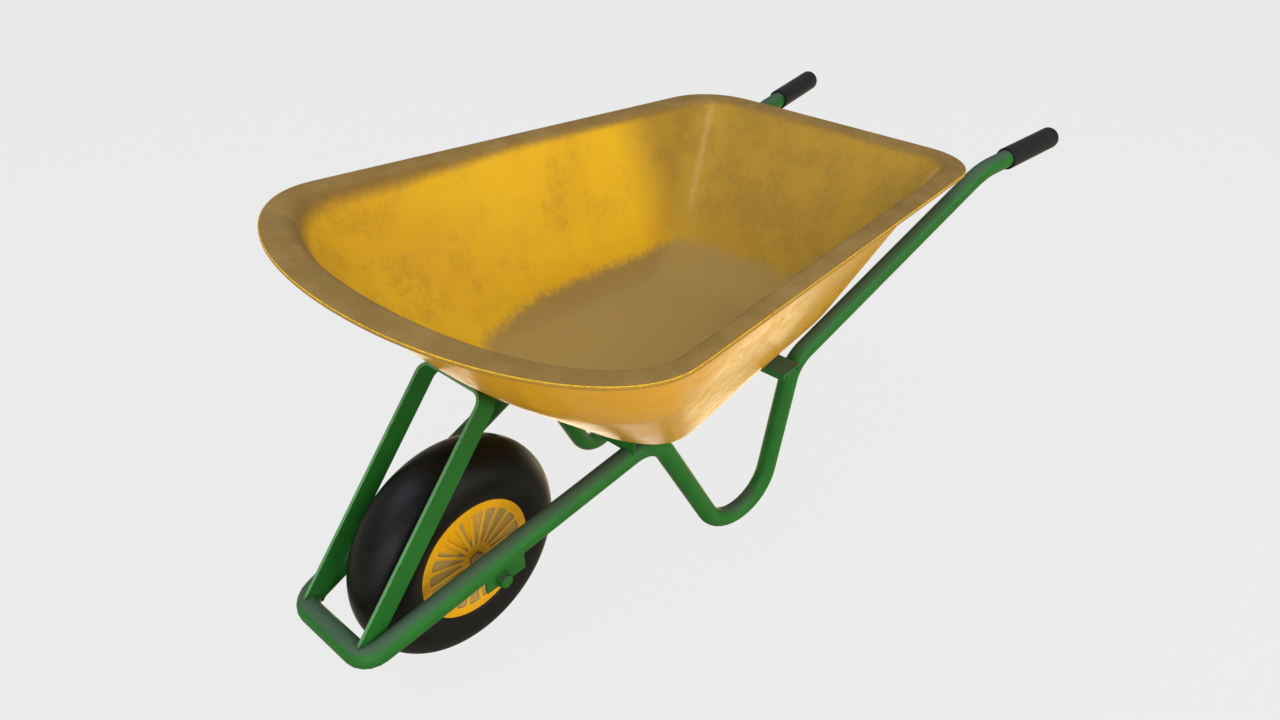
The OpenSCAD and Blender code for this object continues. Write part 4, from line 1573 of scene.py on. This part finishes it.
@dataclass
class Studio:
    """The pale floor, the soft lights and the camera."""

    pale: float = 0.83
    floor_radius: float = 40.0
    eye: tuple[float, float, float] = (-0.5580, -0.8581, 1.1269)
    yaw: float = math.radians(42.083)
    pitch: float = math.radians(-33.183)
    lens: float = 26.673
    from_under: Colour = (0.30, 0.27, 0.22)
    from_floor: Colour = (0.72, 0.65, 0.48)
    from_below: Colour = (0.62, 0.57, 0.46)
    from_around: Colour = (0.50, 0.50, 0.49)
    from_above: Colour = (0.47, 0.485, 0.53)

    def backdrop(self, name: str, rings: np.ndarray, matt_share: float) -> None:
        """Makes a pale surface that only the camera sees, so that it adds no light of its own.

        Args:
            name: Its name.
            rings: Rings of points, from the outside to the last one, which is closed.
            matt_share: How much of it is a matt white that shows shadows.
        """
        shape = loft(rings, capped=False)
        shape.faces.append(list(range(len(shape.points) - rings.shape[1], len(shape.points))))
        mesh = bpy.data.meshes.new(name)
        mesh.from_pydata(shape.points.tolist(), [], shape.faces)
        obj = add_object(name, mesh)
        shader = Shader(name + "_pale")
        glow = shader.node("ShaderNodeEmission", {}, {"Color": (self.pale,) * 3, "Strength": 1.0})
        matt = shader.node("ShaderNodeBsdfDiffuse", {}, {"Color": (0.8, 0.8, 0.8)})
        both = shader.node("ShaderNodeMixShader", {}, {0: matt_share, 1: glow.outputs[0], 2: matt.outputs[0]})
        shader.node("ShaderNodeOutputMaterial", {}, {"Surface": both.outputs[0]})
        mesh.materials.append(shader.material)
        obj.visible_diffuse = obj.visible_glossy = obj.visible_transmission = obj.visible_shadow = False

    def room(self) -> None:
        """Makes the floor and the dome over it.

        A dome ring at height angle a has the radius R cos(a) and stands at R sin(a).
        """
        a = np.linspace(0, 2 * math.pi, 96, endpoint=False)
        ring = np.column_stack([np.cos(a), np.sin(a), np.zeros(96)]) * self.floor_radius
        low = np.array([0.0, 0.0, -0.5 * MM])
        self.backdrop("floor", np.stack([ring + low, ring * 0.05 + low]), 0.03)
        rise = np.radians(np.linspace(0, 86, 16))[:, None, None]
        up = np.array([0.0, 0.0, self.floor_radius])
        self.backdrop("dome", ring[None] * np.cos(rise) + up * np.sin(rise) + low, 0.0)

    def sky(self) -> None:
        """Makes the world's soft light: dark straight below, warm off the floor, even above."""
        world = bpy.data.worlds.new("studio")
        bpy.context.scene.world = world
        world.use_nodes = True
        graph = Graph(world.node_tree)
        place = graph.node("ShaderNodeTexCoord", {}, {})
        split = graph.node("ShaderNodeSeparateXYZ", {}, {0: place.outputs["Generated"]})
        stops = (
            (0.08, self.from_under),
            (0.20, self.from_floor),
            (0.30, self.from_floor),
            (0.42, self.from_below),
            (0.55, self.from_around),
            (0.95, self.from_above),
        )
        height = Value(graph, split.outputs["Z"]) * 0.5 + 0.5
        ramp = graph.node("ShaderNodeValToRGB", {"stops": stops}, {0: height})
        back = graph.node("ShaderNodeBackground", {}, {0: ramp.outputs[0]})
        graph.node("ShaderNodeOutputWorld", {}, {0: back.outputs[0]})

    def aimed(
        self, name: str, data: bpy.types.ID, place: Sequence[float], way: Sequence[float]
    ) -> bpy.types.Object:
        """Adds a lamp or a camera.

        Args:
            name: Its name.
            data: Its light or camera.
            place: Where it stands, counted from under the axle.
            way: The way that it points.

        Returns:
            The object.
        """
        obj = add_object(name, data)
        obj.location = Vector(GROUND_UNDER_AXLE) + Vector(place)
        obj.rotation_euler = Vector(way).to_track_quat("-Z", "Y").to_euler()
        return obj

    def lamp(
        self,
        name: str,
        place: Sequence[float],
        aim: Sequence[float],
        size: tuple[float, float],
        power: float,
        colour: Colour,
    ) -> None:
        """Adds a soft rectangular light.

        Args:
            name: Its name.
            place: Where it stands, counted from under the axle.
            aim: What it points at, counted the same way.
            size: Its two sides.
            power: Its power in watts.
            colour: Its colour.
        """
        data = bpy.data.lights.new(name, "AREA")
        data.shape, data.size, data.size_y = "RECTANGLE", *size
        data.energy, data.color = power, colour
        self.aimed(name, data, place, Vector(aim) - Vector(place)).visible_camera = False

    def camera(self) -> None:
        """Adds the camera."""
        data = bpy.data.cameras.new("camera")
        data.lens, data.sensor_width = self.lens, 36.0
        flat = math.cos(self.pitch)
        way = (flat * math.cos(self.yaw), flat * math.sin(self.yaw), math.sin(self.pitch))
        bpy.context.scene.camera = self.aimed("camera", data, self.eye, way)

    def build(self) -> None:
        """Sets up the whole studio."""
        bpy.context.scene.view_settings.view_transform = "Standard"
        bpy.context.scene.view_settings.look = "None"
        self.room()
        self.sky()
        self.lamp("key", (1.0, -2.7, 2.1), (0.4, 0.0, 0.4), (2.6, 1.6), 59, (1.0, 0.98, 0.92))
        self.lamp("low", (0.6, -3.2, 0.35), (0.3, 0.0, 0.3), (3.0, 0.7), 27, (1.0, 0.96, 0.90))
        self.lamp("cool", (-0.9, 0.4, 2.8), (0.0, 0.0, 0.2), (2.4, 2.2), 62, (0.74, 0.85, 1.0))
        self.lamp("front", (-2.7, -2.1, 0.9), (0.0, 0.0, 0.3), (2.8, 2.2), 72, (0.97, 0.98, 1.0))
        self.lamp("bounce", (1.7, 0.75, -0.72), (0.4, -0.25, 0.4), (1.6, 1.1), 9.5, (1.0, 0.77, 0.42))
        self.lamp("nose bounce", (0.75, 1.3, -0.8), (-0.05, -0.1, 0.42), (1.9, 1.6), 9, (1.0, 0.79, 0.60))
        self.camera()


def corners(box: tuple[Vector, Vector]) -> list[list[float]]:
    """Returns a box's two corners as plain lists."""
    return [list(box[0]), list(box[1])]


def main() -> None:
    """Builds every sub-assembly in order."""
    logging.basicConfig(level=logging.INFO, format="%(name)s: %(message)s")
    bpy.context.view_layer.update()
    palette = Palette()
    tube = FrameTube()
    Studio().build()
    Tray().build(palette)
    tube.build(palette)
    Grips().build(palette, tube)
    for part in (FrontStrap(), CrossMembers(), AxleSet(), Tyre(), WheelCentre()):
        part.build(palette)
    dress_frame(palette)


if __name__ == "__main__":
    main()
